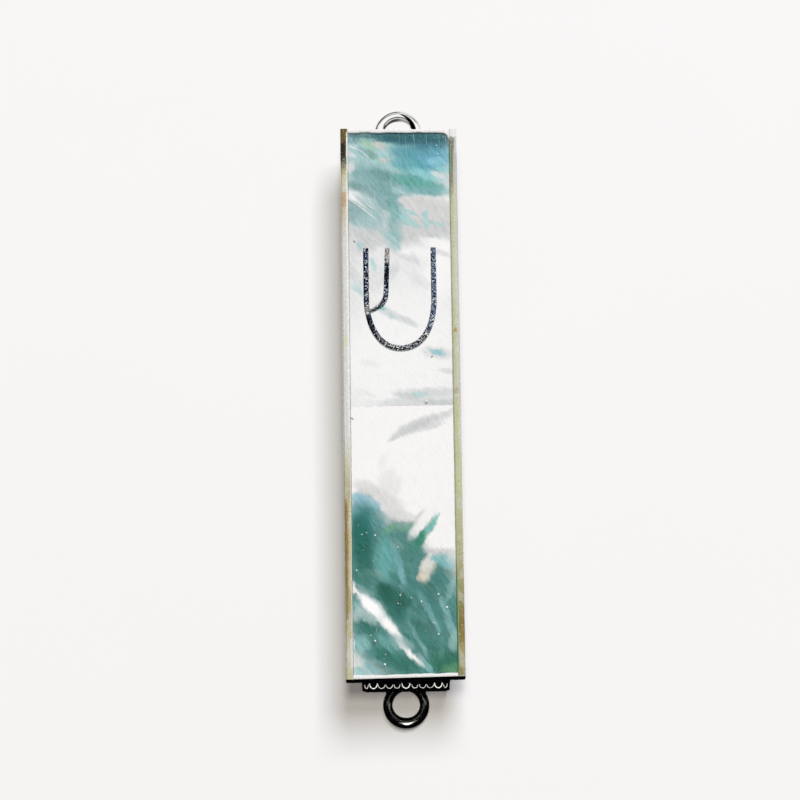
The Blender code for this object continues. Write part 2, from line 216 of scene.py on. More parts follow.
# Shell clouds, painted in order: colour, strength, softness, turn in degrees, then for each
# ellipse its middle (x, z) and its two reaches in millimetres. One strip, along the upper slice's top edge,
# is painted shade.
UPPER_CLOUDS = [
    ("e4e6e6", 1, 0.6, 0, (0, 12, 14, 22)),
    ("f4f5f5", 0.95, 0.8, 0, (2, 9, 10, 13), (5, 28.5, 5, 2.2), (-4, 7, 7, 8)),
    ("c9cccc", 0.9, 0.8, 0, (0, 32.4, 11, 3.2), (-7.6, 30, 3.2, 2.4)),
    ("9fc4c5", 0.95, 0.5, 0, (0, 46, 12, 8)), ("9cbdbf", 0.9, 0.7, -25, (-6.3, 35.2, 4.2, 3.2)),
    ("7fa7a8", 0.9, 0.8, -20, (-4, 41.5, 6, 2.6), (-2, 38.5, 3, 2.6)),
    ("6d9895", 0.75, 0.9, -15, (-2.5, 42.6, 2.6, 1), (-8, 40.6, 1.8, 0.9), (-1, 36.9, 1.6, 1.1)),
    ("82b2b1", 0.9, 0.8, 0, (-0.6, 34, 1.5, 4.6)), ("8cc3c2", 0.8, 0.8, -50, (-1.7, 30.4, 2.3, 0.8)),
    ("4d979f", 0.95, 0.8, -8, (3.4, 45.6, 3.6, 3.6)), ("5ea79f", 0.9, 0.6, -14, (3.8, 41, 5.2, 1.3)),
    ("63a094", 0.75, 0.8, -14, (3.4, 40.8, 2.6, 0.7)), ("67a6ba", 0.95, 0.8, 0, (6.4, 46.2, 3.4, 2.6)),
    ("93d0d3", 0.7, 0.9, -15, (5.6, 42.7, 2.4, 1), (8.2, 43.7, 1.6, 0.5), (3, 43.6, 1.8, 0.7)),
    ("a4d3d2", 0.12, 0.9, -12, (0.5, 44.2, 3.2, 1), (-2.2, 46.8, 2.2, 1)),
    ("5f9ca8", 0.8, 0.9, 0, (0.2, 47.4, 1.7, 1.5), (4.4, 47.3, 1.3, 1)),
    ("6aabb2", 0.8, 0.9, -8, (1.4, 44.8, 2.4, 1.1)), ("b4d3d2", 0.7, 0.9, -10, (0.1, 39.7, 1.3, 0.7)),
    ("8fb3b5", 0.8, 0.9, -20, (-6.4, 47.4, 1.6, 0.7)), ("90cbdc", 0.65, 0.9, 0, (7.2, 45.2, 2, 0.8)),
    ("457c8c", 0.9, 0.9, 0, (6.2, 48.9, 4.4, 1.3), (2.2, 49.6, 4, 0.9)),
    ("2c616b", 0.88, 0.9, 0, (1.8, 49.7, 4.4, 1), (-2.4, 50, 2.2, 0.8)),
    ("7ba3a6", 0.85, 0.9, 0, (-7.6, 49.8, 3, 0.8)),
    # The strip across the whole width at z 50.6 is painted shade under the top rim.
    ("33666d", 0.85, 0.9, 0, (7.2, 49.7, 3.2, 0.9), (0, 50.6, 10, 0.6)),
    ("9fc4a9", 0.75, 0.9, -40, (-5.6, 48.7, 1.6, 0.9)), ("7da392", 0.75, 0.9, -35, (-5, 46.7, 1.2, 0.6)),
    ("c9c9c4", 0.95, 0.7, -20, (-3.6, 48.6, 1.3, 0.65), (-2.7, 45.5, 0.8, 0.5)),
    ("d8dcdc", 0.85, 0.8, -25, (-9.2, 46.7, 1, 0.5), (-8.9, 44.3, 0.7, 1.1), (7.4, 42.6, 1.4, 0.5)),
    ("d0d1d1", 0.5, 0.5, -12, (8.9, 41, 0.6, 0.5)), ("7aabae", 0.9, 0.8, -8, (4.8, 39.6, 4.4, 0.9)),
    ("8aaaac", 0.8, 0.9, -25, (-6, 39.6, 1.8, 0.9), (-8.7, 35.6, 1.5, 2)),
    ("c8cccc", 0.85, 0.8, 0, (5.2, 33, 5.4, 2.3)),
    ("d2d2d2", 1, 0.45, -6, (5.4, 36.3, 5, 2.3), (1.6, 37.7, 1.8, 0.9)),
    ("9accca", 0.8, 0.7, -25, (1.9, 35.7, 1.8, 0.45), (2.2, 33.3, 1.6, 0.7), (0.9, 34.7, 1, 0.8)),
    ("a4cfcd", 0.75, 0.8, 70, (4.8, 34.9, 1.1, 0.6), (5.1, 33.2, 0.9, 0.6)),
    ("a9d0ce", 0.65, 0.8, -10, (7.1, 33.3, 1.4, 0.5), (8.9, 39.3, 0.9, 0.5)),
    ("cdcfcf", 0.75, 0.9, -20, (-6, 31.2, 3.4, 1.4), (3.2, 31.4, 2.6, 1.2)),
    ("f7f7f7", 0.9, 0.8, -18, (7.2, 29.4, 3.4, 0.9), (7.6, 24, 3.4, 4.6)),
    ("dedfdf", 0.8, 0.9, 0, (-8.8, 26.5, 1.3, 4)), ("b4c8ca", 0.7, 0.9, -60, (-1.6, 29.8, 1.8, 1)),
    ("cfd2d2", 0.6, 0.9, -25, (0.8, 27.1, 2.4, 0.5), (7.6, 27.6, 1.8, 0.5), (-1.2, 24.3, 0.9, 1.8)),
    ("cdd0d1", 0.55, 0.9, -60, (-8.6, 23.9, 2.4, 0.9), (2.8, 26.6, 1.4, 0.4)),
    ("d9dbdb", 0.55, 0.9, -35, (3.6, 22.3, 2.2, 1), (-4.3, 22.8, 1.6, 2.4)),
    ("9fcfcd", 0.7, 0.9, -70, (-4.9, 25.6, 1.1, 0.5), (-7.3, 29.4, 0.8, 0.5)),
    ("b0d2d4", 0.65, 0.9, -40, (-8.1, 21.3, 1.1, 0.7), (-7, 20.3, 0.7, 0.5)),
    ("c4cccc", 0.7, 0.9, -32, (-2, 16.3, 2.9, 0.75), (1.4, 14.7, 1.9, 0.6)),
    ("86c9c2", 0.8, 0.9, -20, (-3.4, 17.3, 0.8, 0.4)), ("b3d3d4", 0.55, 0.9, -25, (-1.4, 15.6, 0.9, 0.4)),
    ("cfd2d2", 0.75, 0.9, -6, (6.6, 8.7, 2.6, 1.1), (8.6, 5.2, 1.7, 0.5)),
    ("8cc2ca", 0.9, 0.9, -8, (6.6, 8.8, 1.4, 0.55)),
    ("cdd1d1", 0.8, 0.9, 0, (5, 1.2, 6, 0.9), (4, -0.6, 8, 0.9)),
    ("c3c8c8", 0.7, 0.8, -4, (7, -0.7, 3.6, 0.5), (1.2, 0.6, 2.6, 0.6)),
    ("acd0ce", 0.75, 0.9, 0, (3.3, 0.9, 1.5, 0.5)),
    ("e3e5e5", 0.55, 0.9, -20, (-5.8, 6.8, 1.6, 0.8), (-6.5, 1.2, 1.8, 0.6)),
    ("86acae", 0.75, 0.9, -20, (-6.6, 47.1, 1.3, 0.7)),
    ("5c5c58", 0.9, 0.9, 0, (-8.4, 30, 0.2, 0.2), (5.6, 7.9, 0.17, 0.17)),
]

# Fine pale and dark lines in the upper slice, as very thin clouds
UPPER_LINES = [
    ("f4f3f2", 0.72, 0.95, -24, (-7.8, 47.9, 1.3, 0.09)),
    ("f4f3f2", 0.72, 0.95, -42, (-6.2, 46.8, 1, 0.08)),
    ("f4f3f2", 0.72, 0.95, -20, (-8.7, 48.3, 0.7, 0.08)),
    ("f4f3f2", 0.72, 0.95, -38, (-8.2, 38.2, 2.2, 0.3)),
    ("f4f3f2", 0.72, 0.95, -38, (-6.7, 36.2, 2.6, 0.17)),
    ("f4f3f2", 0.72, 0.95, -30, (-5.8, 36.9, 1.3, 0.09)),
    ("f4f3f2", 0.72, 0.95, -48, (-9, 39, 1.2, 0.45)), ("7d938a", 0.6, 0.9, -38, (-7.3, 36.5, 2.6, 0.13)),
    ("7d938a", 0.6, 0.9, -32, (-6, 36.9, 1.6, 0.1)), ("7d938a", 0.6, 0.9, -50, (-9.1, 37.6, 0.9, 0.16)),
]

LOWER_CLOUDS = [
    ("f6f6f6", 1, 0.6, 0, (0, -10, 14, 12)), ("c0c3c3", 0.8, 1, 24, (2.4, -5, 3.6, 0.95)),
    ("cfd2d2", 0.8, 0.8, 32, (0.1, -6.1, 2.6, 0.55), (-1.4, -7.2, 1.2, 0.4)),
    ("cbcfce", 0.7, 1, 19, (5.8, -3.8, 3.8, 0.7), (5, -5.2, 2.4, 0.5)),
    ("d3d5d5", 0.6, 0.9, 35, (8.5, -2.4, 1.7, 0.4)),
    ("dfe0e0", 0.6, 1, 60, (-3, -15, 2, 1.2), (-1.7, -16.6, 2, 1.2), (-6.6, -16.6, 1.4, 2.2)),
    ("d7d6d6", 0.85, 0.9, -30, (-4.2, -18.2, 4.6, 1.5), (-1.2, -22, 2.8, 1.3)),
    ("e8e9e9", 0.6, 0.9, 70, (-3.6, -11.8, 1.6, 0.6)), ("5a918d", 1, 0.26, 0, (-7.4, -30, 4.4, 12.3)),
    ("568a84", 1, 0.32, -18, (-4, -34, 7, 12.4)),
    ("50857f", 1, 0.3, 0, (0, -38.5, 11, 15.4), (5, -45, 9, 10.5)),
    ("6ba781", 0.6, 1, 32, (1, -23.8, 1.4, 0.5), (-2.4, -24.2, 1.6, 0.5)),
    ("dedede", 0.85, 0.8, -8, (0, -21.9, 2.2, 0.8)), ("cfcdcd", 0.85, 0.8, 52, (2.6, -22.2, 1.7, 0.45)),
    ("f5f5f5", 1, 0.4, 52, (7.6, -25, 4.8, 3.6)), ("f2f2f2", 0.95, 0.7, 50, (3.4, -23.1, 3.5, 1)),
    ("4f9989", 0.85, 0.85, 57, (4, -24.9, 3.5, 0.75)), ("2c8067", 0.95, 0.7, 60, (2.7, -26.6, 2.3, 0.75)),
    ("6dbcb6", 0.85, 0.8, 52, (5.3, -23.2, 2, 0.3)), ("4a8278", 0.9, 0.8, 60, (1, -28.2, 2, 1.5)),
    ("42736a", 0.8, 0.9, -60, (4.3, -35.2, 1.8, 1)), ("d3d0c6", 1, 0.8, 70, (4.1, -31.7, 2.5, 1.3)),
    ("dcdcd8", 0.9, 0.75, 55, (4.5, -30.2, 1.9, 0.9)), ("dad0b9", 0.8, 0.9, 10, (3.2, -33.2, 0.8, 0.7)),
    ("cfcccb", 0.85, 0.9, -6, (7, -28.7, 2.6, 0.7)), ("d8dcdb", 0.8, 0.9, 0, (8.9, -29.9, 0.9, 1.3)),
    ("7fb7bb", 0.85, 0.8, -20, (7.5, -30.2, 2, 1.1), (5.6, -29.8, 0.8, 0.5)),
    ("8db9c6", 0.9, 0.6, -20, (-7.5, -18.6, 2.1, 1.1), (-5.2, -20.2, 1.2, 1.2)),
    ("6f9ea6", 0.8, 0.9, 0, (-8, -20.2, 1.9, 1.2)), ("2d7470", 0.9, 0.9, -8, (-7.3, -23.6, 2.3, 3.4)),
    ("1b6459", 0.92, 0.9, 4, (-7.6, -27.6, 1.7, 4.8)), ("5f9493", 0.75, 0.9, 0, (-4.6, -22.4, 1.4, 2)),
    ("6aaaa7", 0.85, 0.9, 0, (-3.3, -29.6, 1.7, 3.6)),
    ("8cbfc9", 0.42, 1, -80, (-0.9, -30.6, 3, 0.65), (-0.35, -33.6, 1.8, 0.5)),
    ("3d7c72", 0.75, 0.9, -50, (-8.2, -32.6, 2, 1), (-1.6, -33.2, 1.6, 0.5)),
    ("7a9f9b", 0.6, 0.9, -40, (-4.4, -32.6, 1.2, 0.7), (-1.2, -27, 1.3, 0.8)),
    ("4f8075", 0.8, 0.9, 0, (-6.9, -32.6, 1.5, 1)),
    ("195c4d", 0.92, 0.85, -28, (-1.9, -37, 2.9, 1.7), (-3.6, -35.3, 1.6, 1)),
    ("24695f", 0.85, 0.9, -50, (-1.6, -39.3, 2.1, 1.2)),
    ("427a77", 0.7, 0.9, -60, (3.6, -37.2, 4, 1.6), (6, -33.4, 1.6, 1)),
    ("3a766c", 0.75, 0.9, -60, (3.2, -43.6, 3.6, 1.1), (0.8, -45.3, 2.4, 0.6)),
    ("7fb0b3", 0.55, 1, -62, (3.9, -38.6, 3, 0.5), (5.3, -41.6, 1.8, 0.45)),
    ("89b6b8", 0.7, 0.9, -66, (7.3, -38.9, 2.2, 0.45), (8.4, -42.6, 2.6, 0.7)),
    ("86b1b0", 0.5, 0.9, -64, (2, -43.8, 2.6, 0.35), (3.4, -46.6, 1.8, 0.3)),
    ("8cb4b3", 0.6, 0.9, 70, (8.4, -35.2, 2.4, 0.6), (6.4, -47.3, 1, 0.5)),
    ("2a6c58", 0.9, 0.85, -10, (7.6, -48.9, 3.4, 2.4)),
    ("306f63", 0.85, 0.9, -18, (-0.6, -49, 3, 1.3), (-6.6, -42.4, 1.6, 1.1), (-4.2, -47.3, 1.8, 1)),
    ("87b9b7", 0.8, 0.9, -50, (3.7, -49.3, 1.8, 0.6), (-8, -45.4, 1.6, 1.6)),
    ("7eb0b5", 0.75, 0.9, -35, (-6.6, -49.4, 2.4, 0.7)),
    ("73a9a6", 0.7, 0.9, -45, (-8.6, -38.4, 1.4, 1.3), (-3.4, -45.2, 2, 0.8)),
    ("d5dad8", 0.95, 0.8, -30, (-8.9, -48.4, 1.3, 0.9), (-6.9, -51, 2.6, 0.6)),
    ("98c0bf", 0.9, 0.9, -10, (-8.2, -50.2, 2, 0.8)),
    ("a9c0bf", 0.8, 0.9, -45, (-7, -39.8, 2.6, 1), (-8.8, -40, 1, 1.4)),
    ("8fb2b3", 0.8, 0.9, -48, (-1.6, -45, 1.8, 0.8), (0.4, -45.2, 1.6, 0.6), (2.4, -47.9, 1.2, 0.7)),
    ("e6eae9", 0.95, 0.7, 90, (-9.5, -45.4, 2.4, 0.4), (-9.4, -35, 1.3, 0.5)),
    ("dfe8e8", 1, 0.55, -46, (-5.7, -38.6, 3.9, 1.25)), ("ffffff", 1, 0.5, -47, (-5.9, -38.5, 2.9, 0.85)),
    ("e3eae9", 1, 0.6, -50, (-2.7, -42.2, 3.1, 0.95)), ("fdfcfc", 1, 0.5, -52, (-2.6, -42.2, 2.2, 0.62)),
    ("dfe4e2", 1, 0.7, -46, (0.9, -47.2, 3.1, 0.55)), ("fbfafa", 0.95, 0.6, -43, (0.9, -47.1, 2, 0.27)),
    ("b9c9c6", 0.8, 0.9, -50, (-0.9, -44.9, 1.9, 0.5)), ("f2efed", 0.9, 0.8, -40, (-9, -35.4, 1.5, 0.45)),
    ("cfd8d7", 0.75, 0.9, 0, (8.9, -29.7, 1, 1)), ("93b0ad", 0.6, 0.9, -30, (-7.4, -35.3, 1.6, 0.6)),
    ("2a6457", 0.65, 0.9, 0, (-0.2, -37.6, 1.5, 1.2)), ("4d817d", 0.6, 0.9, 0, (0.2, -35.2, 1, 0.8)),
    ("46716a", 0.65, 0.9, -60, (4.5, -42.4, 1.3, 0.8)), ("92b8b3", 0.8, 0.9, 80, (8.8, -44.6, 1.8, 0.8)),
    ("5b9090", 0.65, 0.9, 0, (-6.4, -47.3, 1.2, 0.9)), ("5f9470", 0.85, 0.9, 0, (8.9, -50.3, 2, 1.2)),
    ("5c5c58", 0.9, 0.9, 0, (-9.2, -3.5, 0.18, 0.18)),
]


def paint(look, colour, where, clouds):
    """Lays soft coloured clouds over a colour, one after another."""
    for code, strength, soft, turn, *ellipses in clouds:
        for x, z, along, across in ellipses:
            spot = look.spot(where, (x, z), (along, across), turn, soft)
            colour = look.mix(look.product(spot, strength), colour, code)
    return colour


def nacre(name, base, clouds, lines):
    """Mother-of-pearl: painted clouds, torn by noise, with growth ripples, fibres and shimmer."""
    look = Look(name, roughness=0.28)
    flat = look.scaled(look.mm, (1, 0, 1))
    wide = look.noise(flat, 0.35, 3, 0.55, output="Color")
    fine = look.noise(look.stretched(flat, (2.6, 1, 0.8), 32), 1.0, 4, 0.6, output="Color")
    push = look.scaled(look.vector("SUBTRACT", wide, (0.5,) * 3), (1.1, 0, 1.1))
    tear = look.scaled(look.vector("SUBTRACT", fine, (0.5,) * 3), (1.0, 0, 1.0))
    torn = look.vector("ADD", look.vector("ADD", flat, push), tear)
    colour = paint(look, base, look.plane(torn), clouds)
    wisps = look.noise(look.stretched(torn, (1.5, 1, 0.35), 38), 1.2, 5, 0.62)
    colour = look.tint(colour, "ffffff", wisps, 0.42, 0.75, 0.30, "SOFT_LIGHT")
    colour = look.tint(colour, "3b5f60", wisps, 0.56, 0.25, 0.34, "SOFT_LIGHT")
    fibres = look.noise(look.stretched(flat, (9.0, 1, 0.55), 2), 1.0, 3, 0.6)
    colour = look.tint(colour, "ffffff", fibres, 0.34, 0.72, 0.28, "SOFT_LIGHT")
    frayed = look.vector("ADD", flat, look.scaled(tear, (0.25, 0, 0.25)))
    colour = paint(look, colour, look.plane(frayed), lines)
    hairs = look.noise(look.stretched(flat, (7.0, 1, 0.09), 3), 1.0, 2, 0.5)
    near_top = look.band(look.plane(flat)[1], 38.0, 42.0)
    hairs = look.product(look.band(hairs, 0.58, 0.70, 0.0, 0.30), near_top)
    colour = look.mix(hairs, colour, "dbeaec")
    colour = look.add("Gamma", {"Color": colour, "Gamma": 1.09}).outputs[0]
    ripple = look.add("TexWave", {
        "Vector": look.stretched(torn, (0.5, 1, 0.5), 55), "Scale": 1.1, "Distortion": 3.0,
        "Detail": 3.0, "Detail Scale": 1.4}, wave_type="BANDS").outputs["Fac"]
    height = look.math("MULTIPLY_ADD", ripple, 0.5, fibres)
    facing = look.add("LayerWeight", {"Blend": 0.35}).outputs["Facing"]
    colour = look.tint(colour, "e7c9d6", facing, 0.5, 0.95, 0.35, "MULTIPLY")
    return look.finish(Base_Color=colour, Roughness=look.band(wisps, 0.3, 0.7, 0.22, 0.42),
                       Normal=look.bump(height, 0.00002, 0.35), Specular_IOR_Level=0.12)


def silver(name, warm, warmth, roughness=0.12, grain=(0.6, 3.0, 0.25)):
    """Polished silver plate with warm tarnish in patches and fine scratches."""
    look = Look(name, roughness, metallic=1.0)
    broad = look.noise(look.mm, 0.22, 4, 0.6)
    small = look.noise(look.mm, 2.2, 4, 0.65)
    colour = look.tint("e6e6e2", warm, broad, 0.38, 0.62, warmth)
    colour = look.tint(colour, "8d8a72", small, 0.55, 0.80, 0.35)
    drawn = look.noise(look.scaled(look.mm, grain), 6.0, 3, 0.6)
    rough = look.band(drawn, 0.3, 0.75, roughness * 0.7, roughness * 1.7)
    normal = look.bump(small, 0.00003, 0.25, Normal=look.bump(drawn, 0.00001, 0.25))
    return look.finish(Base_Color=colour, Roughness=rough, Normal=normal)


# The upper ring's black streak, a painted dark reflection, in millimetres and radians: the ring's centre
# height, the streak's radius and half width at angle 0 and how much each changes per radian
STREAK_CENTRE = 54.5
STREAK_RADIUS = (2.75, 0.66)
STREAK_WIDTH = (0.62, -0.36)


def oxidised_ring_silver(name):
    """Bright silver wire with painted reflections: a black tapering streak on its right half and dark edges
    on its left.
    """
    look = Look(name, 0.14, metallic=1.0)
    small = look.noise(look.mm, 2.2, 4, 0.65)
    colour = look.tint("fbfbfa", "b9b6ac", small, 0.50, 0.80, 0.5)
    x, z = look.plane(look.mm)
    # Painted dark reflection: a black streak along the right half of the wire.
    rise = look.math("SUBTRACT", z, STREAK_CENTRE)
    radius = look.math("SQRT", look.math("MULTIPLY_ADD", x, x, look.product(rise, rise)))
    angle = look.math("ARCTAN2", rise, x)
    middle = look.math("MULTIPLY_ADD", angle, STREAK_RADIUS[1], STREAK_RADIUS[0])
    width = look.math("MULTIPLY_ADD", angle, STREAK_WIDTH[1], STREAK_WIDTH[0])
    away = look.math("ABSOLUTE", look.math("SUBTRACT", radius, middle))
    streak = look.band(look.math("SUBTRACT", away, width), 0.06, -0.06)
    streak = look.product(streak, look.band(angle, -0.25, -0.05), look.band(angle, 1.55, 1.35))
    colour = look.mix(streak, colour, "0c0b0b")
    # Painted dark reflections along the outer and inner edges of the left half.
    edges = look.math("MAXIMUM", look.band(radius, 3.98, 4.12), look.band(radius, 2.95, 2.80))
    colour = look.mix(look.product(edges, look.band(x, 1.0, -0.5, 0.25, 0.9)), colour, "3a322c")
    return look.finish(Base_Color=colour, Roughness=look.band(small, 0.3, 0.7, 0.10, 0.22),
                       Normal=look.bump(small, 0.00001, 0.2))


def frosted_silver(name):
    """Matt white silver, as left by the pickle, with slightly rubbed spots; polished underneath."""
    look = Look(name)
    rubbed = look.noise(look.mm, 3.0, 3, 0.6)
    under = look.underside()
    colour = look.mix(under, look.tint("f9f9f7", "e2e2df", rubbed, 0.4, 0.7), "c4cadc")
    return look.finish(Base_Color=colour, Normal=look.bump(rubbed, 0.00001, 0.3),
                       Metallic=look.math("MULTIPLY_ADD", under, 0.9, 0.1),
                       Roughness=look.math("MULTIPLY_ADD", under, -0.25, 0.4))


# The colours of the long rims, as named tones, and where each tone lies from the lower to the upper end
# in millimetres: painted reflections, as the rims mirror olive, yellow and white along their length
RIM_TONES = {
    "white": "f0f0ee", "silver": "dcdcd8", "pewter": "b2b0a2", "cream": "cecdb8", "straw": "c4c19a",
    "sage": "c4c59f", "sand": "cabda0", "khaki": "b5ac84", "moss": "adad86", "ochre": "a89b6c",
    "taupe": "9a937b", "lichen": "797a68", "olive": "8f8758", "slate": "7c7a68", "brown": "836e35",
    "umber": "4f4a33", "bronze": "655829",
}
LEFT_RIM_COLOURS = [
    (-51.4, "straw"), (-47.5, "cream"), (-42.0, "khaki"), (-26.0, "ochre"), (-18.0, "khaki"),
    (-11.0, "cream"), (-7.0, "silver"), (30.0, "silver"), (36.5, "sand"), (41.0, "cream"),
    (43.0, "straw"), (44.6, "slate"), (46.0, "umber"), (48.4, "umber"), (49.6, "bronze"),
    (51.4, "bronze"),
]
RIGHT_RIM_COLOURS = [
    (-51.4, "pewter"), (-51.0, "olive"), (-47.0, "ochre"), (-43.0, "brown"), (-38.0, "olive"),
    (-30.0, "moss"), (-16.0, "sage"), (17.0, "sage"), (22.0, "cream"), (27.0, "sage"), (37.0, "sage"),
    (41.0, "taupe"), (45.0, "lichen"), (49.0, "lichen"), (50.0, "pewter"), (50.7, "white"),
]
# Marks on the rims, the pale ones near +1 painted highlights: colour, strength, middle height, half height
# and span across, from -1 to 1
LEFT_RIM_MARKS = [
    ("23221a", 0.85, 47.3, 1.6, -1, 0.2), ("b98d55", 0.55, 38, 1.5, -0.7, 0.4),
    ("d8d79a", 0.5, 11, 0.9, -0.6, 0.4), ("8a7745", 0.9, -27.5, 8.5, -0.75, -0.15),
    ("8f7f50", 0.8, -38, 3, -0.7, -0.1), ("d3c89a", 0.7, -27, 9, 0.25, 0.6),
    ("a2a37c", 0.7, -20, 6, 0.65, 1), ("f0f0ee", 0.8, 18, 25, 0.45, 1.2),
    ("e0e0dc", 0.8, -22, 29, 0.72, 1.2), ("ffffff", 1, 47.2, 3.9, 0.66, 1.2),
    ("dedede", 0.7, -47, 3, 0.3, 1.2),
]
RIGHT_RIM_MARKS = [
    ("cdcec5", 0.72, 24, 24, -0.05, 1.2), ("d2d2ce", 0.7, -5, 6, 0.55, 1.2),
    ("ececea", 0.95, 50.2, 3.6, 0.45, 1.2), ("eeeeec", 0.95, 51.3, 1.7, -1.3, 1.2),
    ("c4c8c6", 0.7, 45, 5, 0.5, 1.2), ("b08a50", 0.8, 12.7, 0.35, -0.7, 0.2),
    ("a9a084", 0.6, 1.4, 0.5, -0.6, 0.4), ("8f7a44", 0.6, -44, 1.6, -0.7, 0.6),
    ("b4bf92", 0.7, -20, 12, -1, -0.62), ("79a66e", 0.85, -42, 9, -1, -0.55),
    ("b9c398", 0.6, 12, 18, -1, -0.7), ("dcdccc", 0.7, -18, 15, 0.82, 1),
    ("8fb08c", 0.7, 45.5, 3, -1, -0.62),
]
RIM_SPAN = 51.65


def rim_metal(name, middle, half_width, colours, marks):
    """Silver plate with painted reflections: a colour that changes along the rim, then soft-edged marks, the
    pale ones painted highlights.
    """
    look = Look(name, 0.2)
    small = look.noise(look.mm, 1.6, 4, 0.65)
    fine = look.noise(look.mm, 3.6, 2, 0.5)
    x, z = look.plane(look.mm)
    waver = look.math("SUBTRACT", small, 0.5)
    across = look.math("DIVIDE", look.math("SUBTRACT", x, middle / MM), half_width / MM)
    across = look.math("MULTIPLY_ADD", waver, 0.7, across)
    along = look.math("MULTIPLY_ADD", waver, 2.4, z)
    # The tones along the rim are painted reflections of the surroundings.
    stops = [(0.5 + 0.5 * height / RIM_SPAN, RIM_TONES[tone]) for height, tone in colours]
    colour = look.ramp(look.math("MULTIPLY_ADD", along, 0.5 / RIM_SPAN, 0.5), stops)
    patches = look.band(look.noise(look.scaled(look.mm, (0.3, 0.3, 0.28)), 1.0, 2, 0.5), 0.50, 0.60, 0.0, 0.4)
    colour = look.mix(look.product(patches, look.band(along, 43.0, 41.0)), colour, "d2d3cc")
    # Marks: the pale ones along the edges that face right are painted highlights.
    for code, strength, height, reach, low, high in marks:
        distance = look.math("ABSOLUTE", look.math("SUBTRACT", along, height))
        share = look.product(look.band(across, low - 0.15, low + 0.1),
                             look.band(across, high + 0.15, high - 0.1),
                             look.band(distance, reach * 1.12, reach * 0.85), strength)
        colour = look.mix(share, colour, code)
    colour = look.tint(colour, "8a7c50", fine, 0.60, 0.76, 0.45)
    colour = look.tint(colour, "efefe4", fine, 0.40, 0.26, 0.45)
    grain = look.noise(look.scaled(look.mm, (4, 4, 0.4)), 1.0, 2, 0.5)
    return look.finish(Base_Color=colour, Roughness=look.band(small, 0.35, 0.7, 0.26, 0.42),
                       Normal=look.bump(grain, 0.00002, 0.2), Specular_IOR_Level=0.2,
                       Metallic=look.math("MULTIPLY_ADD", look.underside(), 0.5, 0.5))


# Painted reflections of the cut silver: tones from dark to bright, for the left, lower and right parts of the
# letter
CUT_TONES = [
    [(0, "060a18"), (0.32, "1a2340"), (0.55, "384463"), (0.7, "6b7790"), (0.82, "b4bac8"), (0.92, "ffffff")],
    [(0, "141418"), (0.25, "55565e"), (0.42, "9a9ba2"), (0.55, "45485a"), (0.68, "c9cbd2"), (0.85, "ffffff")],
    [(0, "1c2740"), (0.22, "4c5f82"), (0.48, "7385a3"), (0.66, "97a5bb"), (0.8, "c4ccd8"), (0.9, "ffffff")],
]
FACETS_PER_MM = 5.4


def glitter(name):
    """Diamond-cut silver: each small facet takes its own painted reflection, from navy to white, with painted
    glints, dark reflections and a teal reflection on the flanks.
    """
    look = Look(name, 0.2)
    cells = look.add("TexVoronoi", {"Vector": look.mm, "Scale": FACETS_PER_MM}, feature="F1").outputs["Color"]
    shade = look.add("SeparateColor", {0: cells}).outputs[0]
    x, z = look.plane(look.mm)
    left, lower, right = [look.ramp(shade, tones, "CONSTANT") for tones in CUT_TONES]
    colour = look.mix(look.band(x, 2.0, 4.5), left, right)
    colour = look.mix(look.product(look.band(z, 13.5, 12.0), look.band(x, -5.0, -3.6)), colour, lower)
    # Painted glints: pale patches on the letter.
    pale = look.math("MAXIMUM", look.spot((x, z), (-6.4, 16.4), (1.0, 0.8)),
                     look.spot((x, z), (-2.3, 27.4), (0.9, 1.9)))
    pale = look.math("MAXIMUM", pale, look.spot((x, z), (-4.8, 17.6), (1.5, 0.7), 35))
    colour = look.mix(look.product(pale, 0.62), colour, "e6e1dd")
    # Painted dark reflections: black patches on the letter.
    black = look.math("MAXIMUM", look.spot((x, z), (-5.9, 13.4), (0.9, 1.6), 15),
                      look.spot((x, z), (-2.4, 23.2), (0.5, 1.5)))
    colour = look.mix(look.product(black, 0.85), colour, "141318")
    tilt = look.scaled(look.vector("SUBTRACT", cells, (0.5,) * 3), (0.35,) * 3)
    normal = look.geometry("Normal")
    flank = look.band(look.product(look.split(normal)[1], -1.0), 0.45, 0.2)
    # On the flanks the metal gives way to a flat teal: a painted reflection.
    return look.finish(Base_Color=look.mix(flank, colour, "567673"),
                       Normal=look.vector("NORMALIZE", look.vector("ADD", normal, tilt)),
                       Metallic=look.math("SUBTRACT", 1.0, flank))


def clear_resin(name):
    """Clear coat: mostly see-through, with a soft sheen, fine scratches and faint haze."""
    look = Look(name)
    scratches = look.noise(look.scaled(look.mm, (14, 1, 0.35)), 1.0, 2, 0.5)
    swirls = look.noise(look.stretched(look.mm, (8, 1, 0.5), 12), 1.0, 2, 0.5)
    fine = look.math("MAXIMUM", look.band(scratches, 0.66, 0.72), look.band(swirls, 0.70, 0.76))
    normal = look.bump(scratches, 0.000004, 0.3)
    clear = look.add("BsdfTransparent", {"Color": "ffffff"}).outputs[0]
    gloss = look.add("BsdfGlossy", {"Color": "ffffff", "Roughness": 0.10, "Normal": normal}).outputs[0]
    haze = look.add("BsdfDiffuse", {"Color": "f6f6f6"}).outputs[0]
    fresnel = look.add("Fresnel", {"IOR": 1.45, "Normal": normal}).outputs[0]
    outside = look.math("SUBTRACT", 1.0, look.geometry("Backfacing"))
    shine = look.add("MixShader", {0: look.product(fresnel, outside, 0.35), 1: clear, 2: gloss})
    return look.show(look.add("MixShader", {0: look.product(fine, 0.10), 1: shine.outputs[0], 2: haze}))


